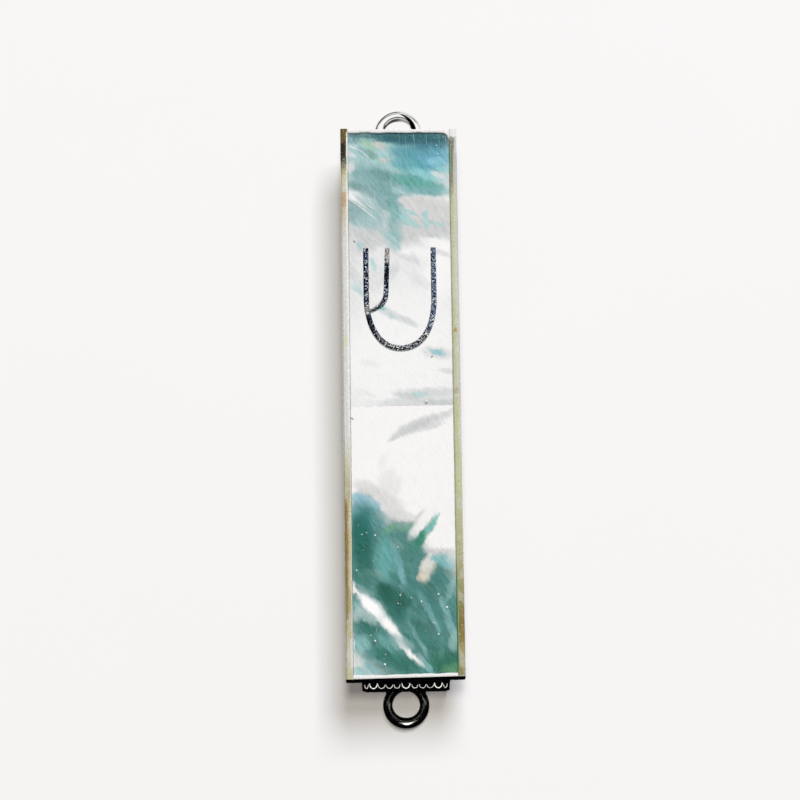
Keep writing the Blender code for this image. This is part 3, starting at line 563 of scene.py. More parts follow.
def parchment_skin(name):
    """Cream vellum with follicle specks, cloudy thickness and fibres."""
    look = Look(name, 0.75)
    fibres = look.noise(look.scaled(look.mm, (3, 3, 0.6)), 2.0, 5, 0.7)
    colour = look.tint("e9dcbc", "d3bc8f", look.noise(look.mm, 0.25, 4, 0.6), 0.35, 0.65)
    colour = look.tint(colour, "c2a777", fibres, 0.45, 0.7, 0.4)
    colour = look.tint(colour, "8f7448", look.noise(look.mm, 7.0, 2, 0.5), 0.66, 0.74, 0.5)
    return look.finish(Base_Color=colour, Normal=look.bump(fibres, 0.00005, 0.5))


def dried_glue(name):
    """Dull white glue with small voids."""
    look = Look(name, 0.6)
    lumps = look.noise(look.mm, 1.4, 4, 0.6)
    return look.finish(Base_Color=look.tint("f3f3f0", "dcdbd2", lumps, 0.35, 0.65),
                       Normal=look.bump(lumps, 0.00006, 0.5))


def bubble_shine(name):
    look = Look(name, 0.25)
    return look.finish(Base_Color=look.mix(look.noise(look.mm, 3.0, 2, 0.5), "ffffff", "d5e8e6"))


# ---------------------------------------------------------------- mesh helpers

TILE_CORNER = 0.0015
TOP_SKEW = -0.0140
TOP_SHORTER = 0.00015
BOTTOM_SKEW = 0.0166
SHARP_ANGLE = math.radians(38)
# Waves per metre of the hand-finished unevenness
WAVES = 260
noise.seed_set(1)


def hand_cut(place):
    """The tray's ends aren't quite square: its left side is a little longer than its right."""
    share = place.z / HALF_LENGTH
    if share > 0:
        return (place.x * TOP_SKEW - TOP_SHORTER) * share
    return -place.x * BOTTOM_SKEW * share


def add_piece(name, bm, material, body=CASE, slot="case_metal", replaces=(), smooth=True, tray=False):
    """Makes an object of a bmesh, rides it on a body and hides the CAD parts it replaces."""
    if tray:
        for vertex in bm.verts:
            vertex.co.z += hand_cut(vertex.co)
    bmesh.ops.recalc_face_normals(bm, faces=bm.faces)
    mesh = bpy.data.meshes.new(name)
    bm.to_mesh(mesh)
    bm.free()
    mesh.materials.append(material)
    if smooth:
        mesh.shade_smooth()
        mesh.set_sharp_from_angle(angle=SHARP_ANGLE)
    piece = bpy.data.objects.new(name, mesh)
    bpy.context.scene.collection.objects.link(piece)
    piece.visible_diffuse = False
    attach(piece, body)
    if replaces:
        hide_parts(*replaces)
    return piece


def skin(bm, rings):
    """Bridges closed rows of vertices with quads."""
    for first, second in zip(rings, rings[1:]):
        for index in range(len(first)):
            after = (index + 1) % len(first)
            bm.faces.new((first[index], first[after], second[after], second[index]))


def add_solid(bm, rows, flat=True):
    """A solid through closed rows of points, ended by flat faces or by fans from their middles."""
    rings = [[bm.verts.new(point) for point in row] for row in rows]
    skin(bm, rings)
    for end in (rings[0], rings[-1]):
        if flat:
            bm.faces.new(end)
            continue
        middle = bm.verts.new(sum((vertex.co for vertex in end), Vector()) / len(end))
        for index, vertex in enumerate(end):
            bm.faces.new((vertex, end[(index + 1) % len(end)], middle))
    return bm


def double_sheet(columns, rows, faces):
    """Two sheets, each a function from column and row to a point, joined round their edge."""
    bm = bmesh.new()
    edges = []
    for point_at in faces:
        grid = [[bm.verts.new(point_at(i, j)) for j in range(rows + 1)] for i in range(columns + 1)]
        for i in range(columns):
            for j in range(rows):
                bm.faces.new((grid[i][j], grid[i + 1][j], grid[i + 1][j + 1], grid[i][j + 1]))
        edge = [line[0] for line in grid] + grid[-1][1:]
        edges.append(edge + [line[-1] for line in reversed(grid[:-1])] + grid[0][-2:0:-1])
    skin(bm, edges)
    return bm


def apply_modifiers(piece):
    """Keeps the evaluated mesh and drops the modifiers."""
    bpy.context.view_layer.update()
    graph = bpy.context.evaluated_depsgraph_get()
    mesh = bpy.data.meshes.new_from_object(piece.evaluated_get(graph))
    piece.modifiers.clear()
    piece.data = mesh


def combine(piece, helpers):
    """Joins a piece with helper solids or cuts it by them, in turn."""
    made = []
    for operation, bm in helpers:
        helper = add_piece("helper", bm, piece.data.materials[0], slot=None, smooth=False)
        step = piece.modifiers.new(operation, "BOOLEAN")
        step.operation = operation
        step.solver = "EXACT"
        step.object = helper
        made.append(helper)
    apply_modifiers(piece)
    for helper in made:
        bpy.data.objects.remove(helper)


def unevenness(*place):
    return noise.noise(Vector(place))


def arc(middle, radii, first, last, steps):
    points = []
    for index in range(steps + 1):
        angle = math.radians(first + (last - first) * index / steps)
        points.append((middle[0] + radii[0] * math.cos(angle), middle[1] + radii[1] * math.sin(angle)))
    return points


def rounded_box(low, high, radius, steps=3):
    """Outline of a rectangle with rounded corners, anticlockwise."""
    points = []
    for x, y, start in ((high[0] - radius, high[1] - radius, 0), (low[0] + radius, high[1] - radius, 90),
                        (low[0] + radius, low[1] + radius, 180), (high[0] - radius, low[1] + radius, 270)):
        points += arc((x, y), (radius, radius), start, start + 90, steps)
    return points


def drawn_in(point, middle, cut):
    """An outline's point moved towards the middle by the same cut in x and in y."""
    moved = []
    for value, centre in zip(point, middle):
        away = value - centre
        moved.append(centre + away - math.copysign(min(cut, abs(away)), away))
    return moved


def swept_along_z(name, outline, low, high, steps, material, roughen=0.0, round_end=0.0, **options):
    """Sweeps an (x, y) outline along Z, with a hand-finished unevenness and softened ends."""
    flat_roughness = Vector((roughen, roughen, 0))
    middle = [sum(values) / len(outline) for values in zip(*outline)]
    levels = [low + (high - low) * index / steps for index in range(steps + 1)]
    shrink = [0.0] * len(levels)
    if round_end:
        nearly = round_end * 0.3
        shrink = [round_end, nearly, 0.0] + [0.0] * (steps - 1) + [0.0, nearly, round_end]
        levels = [low, low + nearly, low + round_end, *levels[1:-1], high - round_end, high - nearly, high]
    rows = []
    for level, cut in zip(levels, shrink):
        row = [Vector((*drawn_in(point, middle, cut), level)) for point in outline]
        rows.append([point + noise.noise_vector(point * WAVES) * flat_roughness for point in row])
    return add_piece(name, add_solid(bmesh.new(), rows, flat=False), material, **options)


# ---------------------------------------------------------------- the front tray

# Crown of a long rim from its inner to its outer edge: share of the width and drop below the crest
RIM_CROWN = [
    (0.0, 0.00030), (0.02, 0.00014), (0.05, 0.00006), (0.10, 0.00003), (0.18, 0.00002), (0.30, 0.00001),
    (0.45, 0.0), (0.60, 0.0), (0.72, 0.00001), (0.82, 0.00002), (0.89, 0.00005), (0.94, 0.00010),
    (0.975, 0.00018), (1.0, 0.00038),
]
RIM_BACK = RIM_HIGH.y + GAP * 0.6


def build_long_rims():
    for name, node, inner, outer, colours, marks in (
            ("left_polished_rim", "left_rim", RIM_HIGH.x, RIM_LOW.x, LEFT_RIM_COLOURS, LEFT_RIM_MARKS),
            ("right_polished_rim", "right_rim", INSIDE_RIM, HALF_TRAY, RIGHT_RIM_COLOURS, RIGHT_RIM_MARKS)):
        width = outer - inner
        metal = rim_metal(name + "_plate", (inner + outer) / 2, abs(width) / 2, colours, marks)
        crown = [(inner + width * share, FRONT + drop) for share, drop in RIM_CROWN]
        profile = [(inner, RIM_BACK), (inner, FRONT + 0.00062), *crown, (outer, RIM_BACK)]
        swept_along_z(name, profile, -HALF_LENGTH, HALF_LENGTH, 260, metal, roughen=0.00003,
                      slot="rim_metal", replaces=[node], tray=True)


def build_end_rims(material):
    """The thin end strips: the inner edge wavers where resin laps over it, and fills the worn corner."""
    crown = FRONT + 0.00012
    for name, side, node in (("top_polished_rim", 1, "top_rim"), ("bottom_polished_rim", -1, "bottom_rim")):
        rows = []
        steps = 120
        for index in range(steps + 1):
            x = -INSIDE_RIM + 2 * INSIDE_RIM * index / steps
            lap = 0.00016 + 0.00014 * unevenness(x * 420, side * 3.1, 0)
            lap += 0.00006 * unevenness(x * 1500, side * 5.3, 0)
            past = max(0.0, x - INSIDE_RIM + TILE_CORNER) if side > 0 else 0.0
            fillet = TILE_CORNER - math.sqrt(max(TILE_CORNER ** 2 - past ** 2, 0.0))
            outer = side * HALF_LENGTH
            inner = side * (HALF_LENGTH - END_RIM - lap - fillet)
            section = [(RIM_BACK, inner), (crown + 0.0003, inner), (crown + 0.0001, inner + side * 0.00008),
                       (crown, inner + side * 0.00022), (crown, outer - side * 0.00022),
                       (crown + 0.00008, outer - side * 0.00007), (crown + 0.00024, outer), (RIM_BACK, outer)]
            rows.append([(x, y, z) for y, z in section])
        add_piece(name, add_solid(bmesh.new(), rows, flat=False), material, slot="rim_metal", replaces=[node],
                  tray=True)


def build_floor(material):
    """The tray's floor plate, thick enough to meet the rims and the scroll box."""
    low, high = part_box("tray_floor")
    outline = rounded_box((low.x, low.y - GAP * 0.45), (high.x, high.y + GAP * 0.9), 0.00022, 4)
    swept_along_z("tray_plate", outline, low.z, high.z, 90, material, roughen=0.00002, round_end=0.00025,
                  replaces=["tray_floor"], tray=True)


def tile_sheet(name, low_z, high_z, front, back, corner, material, node, seed):
    """A slice of shell: a closed sheet with a gently uneven face, nibbled edges and one worn corner."""
    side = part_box(node)[1].x + GAP * 0.8
    columns, rows = 48, 130

    def shell_point(i, j, depth, uneven):
        x = -side + 2 * side * i / columns
        over = max(0.0, x - (side - corner))
        top = high_z - corner + math.sqrt(max(corner ** 2 - over ** 2, 0.0))
        z = low_z + (top - low_z) * j / rows
        place = Vector((x, depth, z))
        nibble = 0.00005 * unevenness(x * 900, z * 900, seed)
        if i in (0, columns):
            place.x -= math.copysign(abs(nibble), x)
        if j in (0, rows):
            place.z += nibble * (1 if j == 0 else -1)
        place.y += uneven * unevenness(x * 160, z * 110, seed)
        return place

    sheet = double_sheet(columns, rows, (lambda i, j: shell_point(i, j, front, 0.00003),
                                         lambda i, j: shell_point(i, j, back, 0.0)))
    add_piece(name, sheet, material, slot="mother_of_pearl", replaces=[node], tray=True)


def build_tiles():
    upper_low, upper_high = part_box("upper_pearl_tile")
    lower_low, lower_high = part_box("lower_pearl_tile")
    front = upper_low.y - GAP * 0.4
    back = upper_high.y + GAP * 0.9
    upper = nacre("nacre_teal_to_white", "e9ebeb", UPPER_CLOUDS, UPPER_LINES)
    lower = nacre("nacre_white_to_green", "f3f4f4", LOWER_CLOUDS, [])
    seam = GAP * 0.46
    edge = GAP * 0.8
    tile_sheet("upper_shell_slice", upper_low.z - seam, upper_high.z + edge, front, back, TILE_CORNER, upper,
               "upper_pearl_tile", 3.0)
    tile_sheet("lower_shell_slice", lower_low.z - edge, lower_high.z + seam, front, back, 0.0, lower,
               "lower_pearl_tile", 8.0)


def build_glue(material):
    low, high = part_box("adhesive_bed")
    outline = rounded_box((low.x, low.y - GAP * 0.3), (high.x, high.y + GAP * 0.3), 0.0001, 2)
    swept_along_z("glue_layer", outline, low.z, high.z, 100, material, roughen=0.00002, slot="adhesive",
                  replaces=["adhesive_bed"], tray=True)


def build_resin(material):
    """The clear coat: its face creeps up to the rims and dips a little between them."""
    low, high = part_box("resin_coat")
    side = high.x + GAP * 0.9
    end = high.z + GAP * 0.7
    columns, rows = 40, 120

    def place(i, j):
        return -side * math.cos(math.pi * i / columns), -end * math.cos(math.pi * j / rows)

    def face_point(i, j):
        x, z = place(i, j)
        creep = 0.00012 * math.exp(-min(side - abs(x), end - abs(z)) / 0.0004)
        return x, low.y - creep + 0.00002 * unevenness(x * 220, z * 90, 1.0), z

    def back_point(i, j):
        x, z = place(i, j)
        return x, high.y + GAP * 0.4, z

    add_piece("clear_resin_coat", double_sheet(columns, rows, (face_point, back_point)), material,
              slot="clear_resin", replaces=["resin_coat"], tray=True)


# Larger bubbles, in millimetres: x, z and radius
BUBBLES = [
    (-8.6, -31.8, 0.13), (-5.4, -44.8, 0.16), (-3.7, -49.1, 0.2), (6.1, -36.4, 0.17), (3, -37.7, 0.15),
    (-0.8, -36.5, 0.13), (-1.2, -38, 0.11), (7.6, -38.8, 0.17), (6, -43.7, 0.17), (-6.2, -43.8, 0.1),
    (-7.6, -25.2, 0.12), (-5.2, -25.4, 0.15), (5.1, -41.6, 0.11), (-1.1, -27.6, 0.12), (4.5, -0.5, 0.2),
    (-6.7, -24.9, 0.09), (7.1, 48.2, 0.1), (7.3, 46.6, 0.11), (-3.6, -47.3, 0.08), (1.2, -37, 0.1),
]


def build_bubbles(material):
    """Small bubbles caught in the resin, as pale beads just under its face."""
    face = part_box("resin_coat")[0].y
    draw = random.Random(11)
    spots = list(BUBBLES)
    for _ in range(46):
        spots.append((draw.uniform(-9, 9), draw.uniform(-50, -23), draw.uniform(0.03, 0.065)))
    for _ in range(16):
        spots.append((draw.uniform(2, 9), draw.uniform(42, 50), draw.uniform(0.03, 0.06)))
    bm = bmesh.new()
    for x, z, radius in spots:
        place = Matrix.Translation((x * MM, face + radius * MM * 0.6, z * MM))
        squash = Matrix.Diagonal((1.0, 0.6, draw.uniform(0.9, 1.3), 1.0))
        bmesh.ops.create_icosphere(bm, subdivisions=2, radius=radius * MM, matrix=place @ squash)
    add_piece("resin_bubbles", bm, material, slot="clear_resin")


# ---------------------------------------------------------------- the letter

LETTER_DROP = 0.00030
LETTER_SHIFT = 0.00012
LETTER_LOW, LETTER_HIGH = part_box("shin_letter")
LETTER_MIDDLE = (LETTER_LOW.x + LETTER_HIGH.x) / 2 + LETTER_SHIFT
STROKE = 0.0010
ARM_STROKE = 0.00092
FACET = 0.00015
# Half a stroke's section: share of the half width and drop below the crest
STROKE_CROWN = [(1.0, 0.00016), (0.84, 0.00004), (0.56, 0.0), (0.28, -0.00002)]


def bowl_path():
    """Centre line of the outer stroke: two uprights joined by a round bowl."""
    half = (LETTER_HIGH.x - LETTER_LOW.x - STROKE) / 2
    bottom = LETTER_LOW.z + STROKE / 2 - LETTER_DROP * 0.8
    rise = 0.0098
    steps = 96
    points = []
    for index in range(steps + 1):
        angle = math.pi + math.pi * index / steps
        power = 2 / (2.15 if index < steps / 2 else 2.3)
        across = math.copysign(abs(math.cos(angle)) ** power, math.cos(angle))
        down = abs(math.sin(angle)) ** power
        points.append((LETTER_MIDDLE + half * across, bottom + rise - rise * down))
    uprights = 46
    top = LETTER_HIGH.z - LETTER_DROP
    step = (top - bottom - rise) / uprights
    left = [(LETTER_MIDDLE - half, top - step * i) for i in range(uprights)]
    right = [(LETTER_MIDDLE + half, bottom + rise + step * i) for i in range(1, uprights + 1)]
    return left + points + right


def arm_path():
    """Centre line of the middle stroke: it drops, then bends left and meets the outer stroke."""
    top, bend, elbow, foot = [Vector((LETTER_MIDDLE - x, LETTER_HIGH.z - drop)) for x, drop in (
        (0.00222, LETTER_DROP), (0.00258, 0.0090), (0.00276, 0.0114), (0.00610, 0.0124))]
    points = [top.lerp(bend, i / 36) for i in range(36)]
    for index in range(31):
        t = index / 30
        points.append(bend * (1 - t) ** 2 + elbow * 2 * t * (1 - t) + foot * t * t)
    return points


def evenly(path, spacing):
    """A path's points again, at even spacing."""
    out = [Vector(path[0])]
    carry = 0.0
    for first, second in zip(path, path[1:]):
        a, b = Vector(first), Vector(second)
        length = (b - a).length
        while length > 0 and carry + length >= spacing:
            a = a + (b - a).normalized() * (spacing - carry)
            length = (b - a).length
            out.append(a.copy())
            carry = 0.0
        carry += length
    return out


def stroke_mesh(path, width_at, front, back, seed):
    """A raised stroke whose crown is cut into small flat facets."""
    draw = random.Random(seed)
    left = [(-share, front + drop) for share, drop in STROKE_CROWN]
    right = [(share, front + drop) for share, drop in reversed(STROKE_CROWN)]
    section = [(-1.0, back), *left, (0.0, front - 0.00003), *right, (1.0, back)]
    points = evenly(path, FACET)
    rows = []
    for index, point in enumerate(points):
        along = (points[min(index + 1, len(points) - 1)] - points[max(index - 1, 0)]).normalized()
        side = Vector((-along.y, along.x)) * width_at(index / (len(points) - 1)) / 2
        row = []
        for number, (share, depth) in enumerate(section):
            place = point + side * share
            if 1 < number < len(section) - 2:
                place = place + along * draw.uniform(-0.00005, 0.00005)
                depth = depth + draw.uniform(-0.00004, 0.00004)
            row.append((place.x, depth, place.y))
        rows.append(row)
    bm = add_solid(bmesh.new(), rows)
    bmesh.ops.triangulate(bm, faces=bm.faces)
    return bm


def build_letter(material):
    """The letter every such case carries, drawn with plain strokes of even width."""
    front = LETTER_LOW.y
    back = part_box("resin_coat")[0].y + 0.00006
    bowl = stroke_mesh(bowl_path(), lambda t: STROKE, front, back, 5)
    arm = stroke_mesh(arm_path(), lambda t: ARM_STROKE - 0.00040 * max(0.0, t - 0.75) / 0.25,
                      front + 0.00001, back + 0.00001, 6)
    letter = add_piece("cut_silver_letter", bowl, material, slot="letter_metal", replaces=["shin_letter"],
                       smooth=False)
    combine(letter, [("UNION", arm)])
    letter.visible_shadow = False


# ---------------------------------------------------------------- the scroll box

# Section of the solder bead along a side wall: outwards and backwards from the seam
SOLDER_BEAD = [(0.0, 0.0), (0.00045, 0.0), (0.00022, 0.00012), (0.00008, 0.00026), (0.0, 0.0005),
               (-0.0002, 0.0002)]


def build_side_walls(material):
    for name, node, side in (("left_box_wall", "left_side_wall", -1),
                             ("right_box_wall", "right_side_wall", 1)):
        low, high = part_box(node)
        outline = rounded_box((low.x, low.y - GAP * 0.5), (high.x, high.y), 0.00018, 4)
        swept_along_z(name, outline, low.z - GAP * 0.8, high.z + GAP * 0.8, 120, material, roughen=0.00002,
                      replaces=[node])
        seam = (low.x if side < 0 else high.x, TRAY_BACK + GAP * 0.85)
        bead = [(seam[0] + side * x, seam[1] + y) for x, y in SOLDER_BEAD]
        swept_along_z(name + "_solder", bead, low.z, high.z, 160, material, roughen=0.00009)


def build_guides(material):
    """U sections, open towards the middle, with rounded bends."""
    sheet = 0.0005
    bend = 0.0002
    for name, node, side in (("left_guide_channel", "left_cover_guide", -1),
                             ("right_guide_channel", "right_cover_guide", 1)):
        low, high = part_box(node)
        outside = high.x + GAP * 0.9 if side > 0 else low.x - GAP * 0.9
        inside = low.x if side > 0 else high.x
        web = (high.x if side > 0 else low.x) - side * sheet
        half = [(outside, 0.0), (inside, 0.0), (inside - side * 0.0001, sheet * 0.5), (inside, sheet),
                (web - side * bend, sheet), (web, sheet + bend)]
        outline = [(x, low.y + y) for x, y in half] + [(x, high.y - y) for x, y in reversed(half)]
        rows = [[(x, y, low.z + (high.z - low.z) * index / 80) for x, y in outline] for index in range(81)]
        add_piece(name, add_solid(bmesh.new(), rows), material, replaces=[node])


# How far the end plates stand out from the CAD's, the depth of their lobed edge and the fringe's place
PLATE_PROUD = 0.00032
LOBE_RISE = 0.00040
PLATE_CORNER = 0.0012
FRINGE_DEPTH = 0.0017
# Lobes of the end plates' back edge on the right half: middle and half width
LOBES = [(0.0, 0.00085), (0.00160, 0.00062), (0.00300, 0.00066), (0.00440, 0.00070), (0.00585, 0.00082),
         (0.00712, 0.00040)]
ALL_LOBES = [(-middle, half) for middle, half in reversed(LOBES[1:])] + LOBES
BOLD_LOBE = 0.0008


def end_wall_outline(low, high):
    """Seen from above: straight front, rounded back corners and the lobed back edge."""
    base = high.y - LOBE_RISE
    corner = high.x - PLATE_CORNER
    radii = (PLATE_CORNER, PLATE_CORNER)
    points = [(high.x, low.y - GAP * 0.5), (-high.x, low.y - GAP * 0.5)]
    points += arc((-corner, base - PLATE_CORNER), radii, 180, 110, 6)
    for middle, width in ALL_LOBES:
        points += arc((middle, base), (width, LOBE_RISE), 180, 0, 10)
    return points + arc((corner, base - PLATE_CORNER), radii, 70, 0, 6)


def build_end_walls(material, bead_material):
    for name, node, side in (("bottom_end_plate", "bottom_end_wall", -1),
                             ("top_end_plate", "top_end_wall", 1)):
        low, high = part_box(node)
        inner, outer = (low.z, high.z) if side > 0 else (high.z, low.z)
        outer += side * PLATE_PROUD
        middle = (0, (low.y + high.y) / 2)
        levels = ((inner, 0.0), (outer - side * 0.00016, 0.0), (outer - side * 0.00005, 0.00005),
                  (outer, 0.00016))
        rows = [[(*drawn_in(point, middle, cut), level) for point in end_wall_outline(low, high)]
                for level, cut in levels]
        plate = add_piece(name, add_solid(bmesh.new(), rows), material, replaces=[node])
        if side > 0:
            combine(plate, [("DIFFERENCE", cover_slot(low.z - 0.001, high.z + 0.001))])
        build_fringe(name + "_beading", low.y + FRINGE_DEPTH, outer, side, bead_material)


def cover_slot(bottom, top):
    """The slot in the top end plate that the cover slides through."""
    low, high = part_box("back_cover")
    outline = rounded_box((low.x - GAP, low.y - GAP), (high.x + GAP, high.y + GAP), 0.0002, 3)
    return add_solid(bmesh.new(), [[(x, y, z) for x, y in outline] for z in (bottom, top)])


def build_fringe(name, depth, outer, side, material):
    """A fringe of fine wire loops across the end plate, as on pierced gallery strip."""
    bm = bmesh.new()
    for middle, width in ALL_LOBES:
        bold = width > BOLD_LOBE
        wire = 0.000095 if bold else 0.00005
        hang = 0.00102 if bold else 0.00074
        row = depth - (0.0012 if bold else 0.0)
        rows = []
        path = arc((middle, 0.0), (width - wire * 1.3, 1.0), 178, 2, 22)
        for index, (x, share) in enumerate(path):
            turn = math.pi * index / (len(path) - 1)
            out = Vector((-math.cos(turn), 0.0, side * math.sin(turn)))
            place = Vector((x, row, outer + side * (hang * share - wire)))
            thick = wire * (0.75 + 0.25 * math.sin(turn))
            rows.append([place + (out * across + Vector((0.0, back, 0.0))) * thick
                         for across, back in arc((0, 0), (1, 1), 0, 315, 7)])
        add_solid(bm, rows, flat=False)
    add_piece(name, bm, material).visible_glossy = False


# ---------------------------------------------------------------- rings

# How far each ring sits above its nominal place and how much wider it is, by end
RING_LIFT = {-1: 0.00017, 1: -0.00012}
RING_GROWTH = {-1: 0.996, 1: 1.070}
RING_VOXEL = 0.00009
# A solder wedge: sideways from the ring's middle and outwards from the end wall
FOOT_OUTLINE = [(0.0021, -0.0004), (0.0037, -0.0004), (0.0037, 0.00012), (0.00352, 0.00045), (0.0035, 0.0012),
                (0.0024, 0.00075)]


def build_rings(lower_metal, upper_metal):
    """Wire rings: the wire's ends meet at a small notch by the end wall, under a flared solder foot."""
    for name, node, wall, side, material in (
            ("bottom_wire_ring", "bottom_ring", "bottom_end_wall", -1, lower_metal),
            ("top_wire_ring", "top_ring", "top_end_wall", 1, upper_metal)):
        low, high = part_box(node)
        wire = (high.y - low.y) / 2
        centre_y = (low.y + high.y) / 2
        far, end_face = (high.z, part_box(wall)[1].z) if side > 0 else (low.z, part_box(wall)[0].z)
        end_face += side * PLATE_PROUD
        radius = (high.x - low.x) / 2 - wire
        centre_z = far - side * (radius + wire) + RING_LIFT[side]
        bm = bmesh.new()
        rings = []
        steps, around = 128, 28
        for index in range(steps):
            angle = 2 * math.pi * index / steps
            toward_case = max(0.0, -math.cos(angle))
            notch = math.exp(-((angle - math.pi) / 0.10) ** 2)
            outward = max(0.0, math.cos(angle))
            thick = wire * (1.08 + 0.17 * outward ** 2 - 0.14 * notch - 0.04 * toward_case ** 4)
            ring = []
            for step in range(around):
                turn = 2 * math.pi * step / around
                reach = radius * RING_GROWTH[side] + thick * math.cos(turn)
                y = centre_y + min(thick, wire) * math.sin(turn)
                z = centre_z + side * reach * math.cos(angle)
                ring.append(bm.verts.new((reach * math.sin(angle), y, z)))
            rings.append(ring)
        skin(bm, rings + rings[:1])
        ring_piece = add_piece(name, bm, material, replaces=[node])
        combine(ring_piece, [("UNION", ring_foot(side, end_face, centre_y, wire)),
                             ("DIFFERENCE", trim_block(side, end_face, centre_y))])
        remesh = ring_piece.modifiers.new("flow", "REMESH")
        remesh.mode = "VOXEL"
        remesh.voxel_size = RING_VOXEL
        remesh.use_smooth_shade = True
        relax = ring_piece.modifiers.new("relax", "SMOOTH")
        relax.factor = 0.5
        relax.iterations = 6
        apply_modifiers(ring_piece)
        ring_piece.visible_shadow = side < 0


def ring_foot(side, end_face, centre_y, wire):
    """Two solder wedges that flare from the ring's flanks to the end wall."""
    bm = bmesh.new()
    for flank in (-1, 1):
        add_solid(bm, [[(flank * x, centre_y + wire * y, end_face + side * z * grow) for x, z in FOOT_OUTLINE]
                       for y, grow in ((-0.8, 0.85), (-0.3, 1.0), (0.3, 1.0), (0.8, 0.85))])
    return bm


def trim_block(side, end_face, centre_y):
    """Cuts away what would stand inside the end wall."""
    reach = 0.006
    outline = [(-reach, 0.0), (reach, 0.0), (reach, -reach), (-reach, -reach)]
    return add_solid(bmesh.new(), [[(x, centre_y + y, end_face + side * (z + 0.00002)) for x, z in outline]
                                   for y in (-0.003, 0.003)])


# ---------------------------------------------------------------- cover and scroll

def build_cover(material):
    """The sliding plate with softened edges, and the bar that a fingernail pulls."""
    low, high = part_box("back_cover")
    outline = rounded_box((low.x, low.y), (high.x, high.y), 0.0002, 4)
    swept_along_z("sliding_back_plate", outline, low.z, high.z, 140, material, roughen=0.00001,
                  round_end=0.0003, body=COVER, slot="cover_metal", replaces=["back_cover"])
    low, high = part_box("cover_pull")
    depth = high.y - low.y + GAP
    middle = ((low.y + high.y + GAP) / 2, (low.z + high.z) / 2)
    steps = 24
    rows = []
    for index in range(steps + 1):
        x = low.x + (high.x - low.x) * index / steps
        grow = 0.72 + 0.28 * min(1.0, min(index, steps - index) / 2)
        rows.append([(x, middle[0] + y * depth * grow, middle[1] + z * (high.z - low.z) * grow)
                     for y, z in rounded_box((-0.5, -0.5), (0.5, 0.5), 0.3, 4)])
    add_piece("cover_pull_bar", add_solid(bmesh.new(), rows, flat=False), material, body=COVER,
              slot="cover_metal", replaces=["cover_pull"])


def build_scroll(material):
    """The rolled parchment: a loose spiral with soft waves and uneven ends."""
    low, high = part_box("parchment_scroll")
    middle_y = (low.y + high.y) / 2
    outer = (high.x - low.x) / 2 + 0.0001
    turns, thick, pitch = 3.2, 0.00022, 0.00072
    around, along = 150, 40

    def skin_point(i, j, inwards):
        angle = 2 * math.pi * turns * i / around
        z = low.z + (high.z - low.z) * j / along
        radius = outer - pitch * turns * i / around - inwards + 0.00005 * unevenness(angle, z * 60, 2.0)
        if j in (0, along):
            z += 0.00030 * unevenness(angle * 0.4, 5.0, 1.0)
        return radius * math.cos(angle), middle_y + radius * math.sin(angle), z

    sheet = double_sheet(around, along, (lambda i, j: skin_point(i, j, 0.0),
                                         lambda i, j: skin_point(i, j, thick)))
    add_piece("rolled_parchment", sheet, material, slot="parchment", replaces=["parchment_scroll"])


# ---------------------------------------------------------------- stage, light and camera

CAMERA_PITCH = math.radians(14)
CAMERA_ROLL = math.radians(0.8)
CAMERA_DISTANCE = 0.764
CAMERA_LENS = 188.6
CAMERA_SHIFT = (-0.0024, -0.0020)

KEY_PLACE = (0.7, -3.496, 1.816)
KEY_SIZE = (1.54, 2.2)
KEY_POWER = 109.5
KEY_TINT = (0.975, 1.0, 1.07)
FRONT_PLACE = (0.0, -4.0, 0.15)
FRONT_SIZE = (0.6, 0.6)
FRONT_POWER = 38.0
FRONT_TINT = (1.05, 1.0, 0.86)
BEADING_PLACE = (0.12, -0.60, -0.55)
BEADING_SIZE = (0.3, 0.3)
BEADING_POWER = 9.0
AMBIENT = (0.215, 0.198, 0.185, 1.0)
WALL_REACH = 0.5
# The glint that the lower ring shows: its direction from the ring's lowest point, as slopes
# sideways and upwards, and that point's depth and height in millimetres
HOOD_GLINT = (0.03, -0.35)
HOOD_GLINT_REACH = (0.125, 0.36)
GLINT_FROM = (5.2, -57.6)
GLINT_LIGHT = (3.0, 3.0, 3.0, 1.0)
HOOD_HALF_WIDTH = 0.030
HOOD_FRONT = -0.045
HOOD_LOW = -0.100


def build_camera():
    """Looks up at the case from a little below, leaning slightly."""
    data = bpy.data.cameras.new("camera")
    data.lens = CAMERA_LENS
    data.sensor_width = 36
    data.shift_x, data.shift_y = CAMERA_SHIFT
    data.clip_start, data.clip_end = 0.05, 10
    camera = bpy.data.objects.new("camera", data)
    bpy.context.scene.collection.objects.link(camera)
    forward = Vector((0, math.cos(CAMERA_PITCH), math.sin(CAMERA_PITCH)))
    camera.rotation_mode = "QUATERNION"
    level = forward.to_track_quat("-Z", "Y")
    camera.rotation_quaternion = level @ Matrix.Rotation(-CAMERA_ROLL, 3, "Z").to_quaternion()
    camera.location = Vector((0, FRONT, 0)) - forward * CAMERA_DISTANCE
    bpy.context.scene.camera = camera


def stage_sheet(name, corners, material):
    mesh = bpy.data.meshes.new(name)
    mesh.from_pydata(corners, [], [tuple(range(len(corners)))])
    mesh.materials.append(material)
    sheet = bpy.data.objects.new(name, mesh)
    bpy.context.scene.collection.objects.link(sheet)
    return sheet


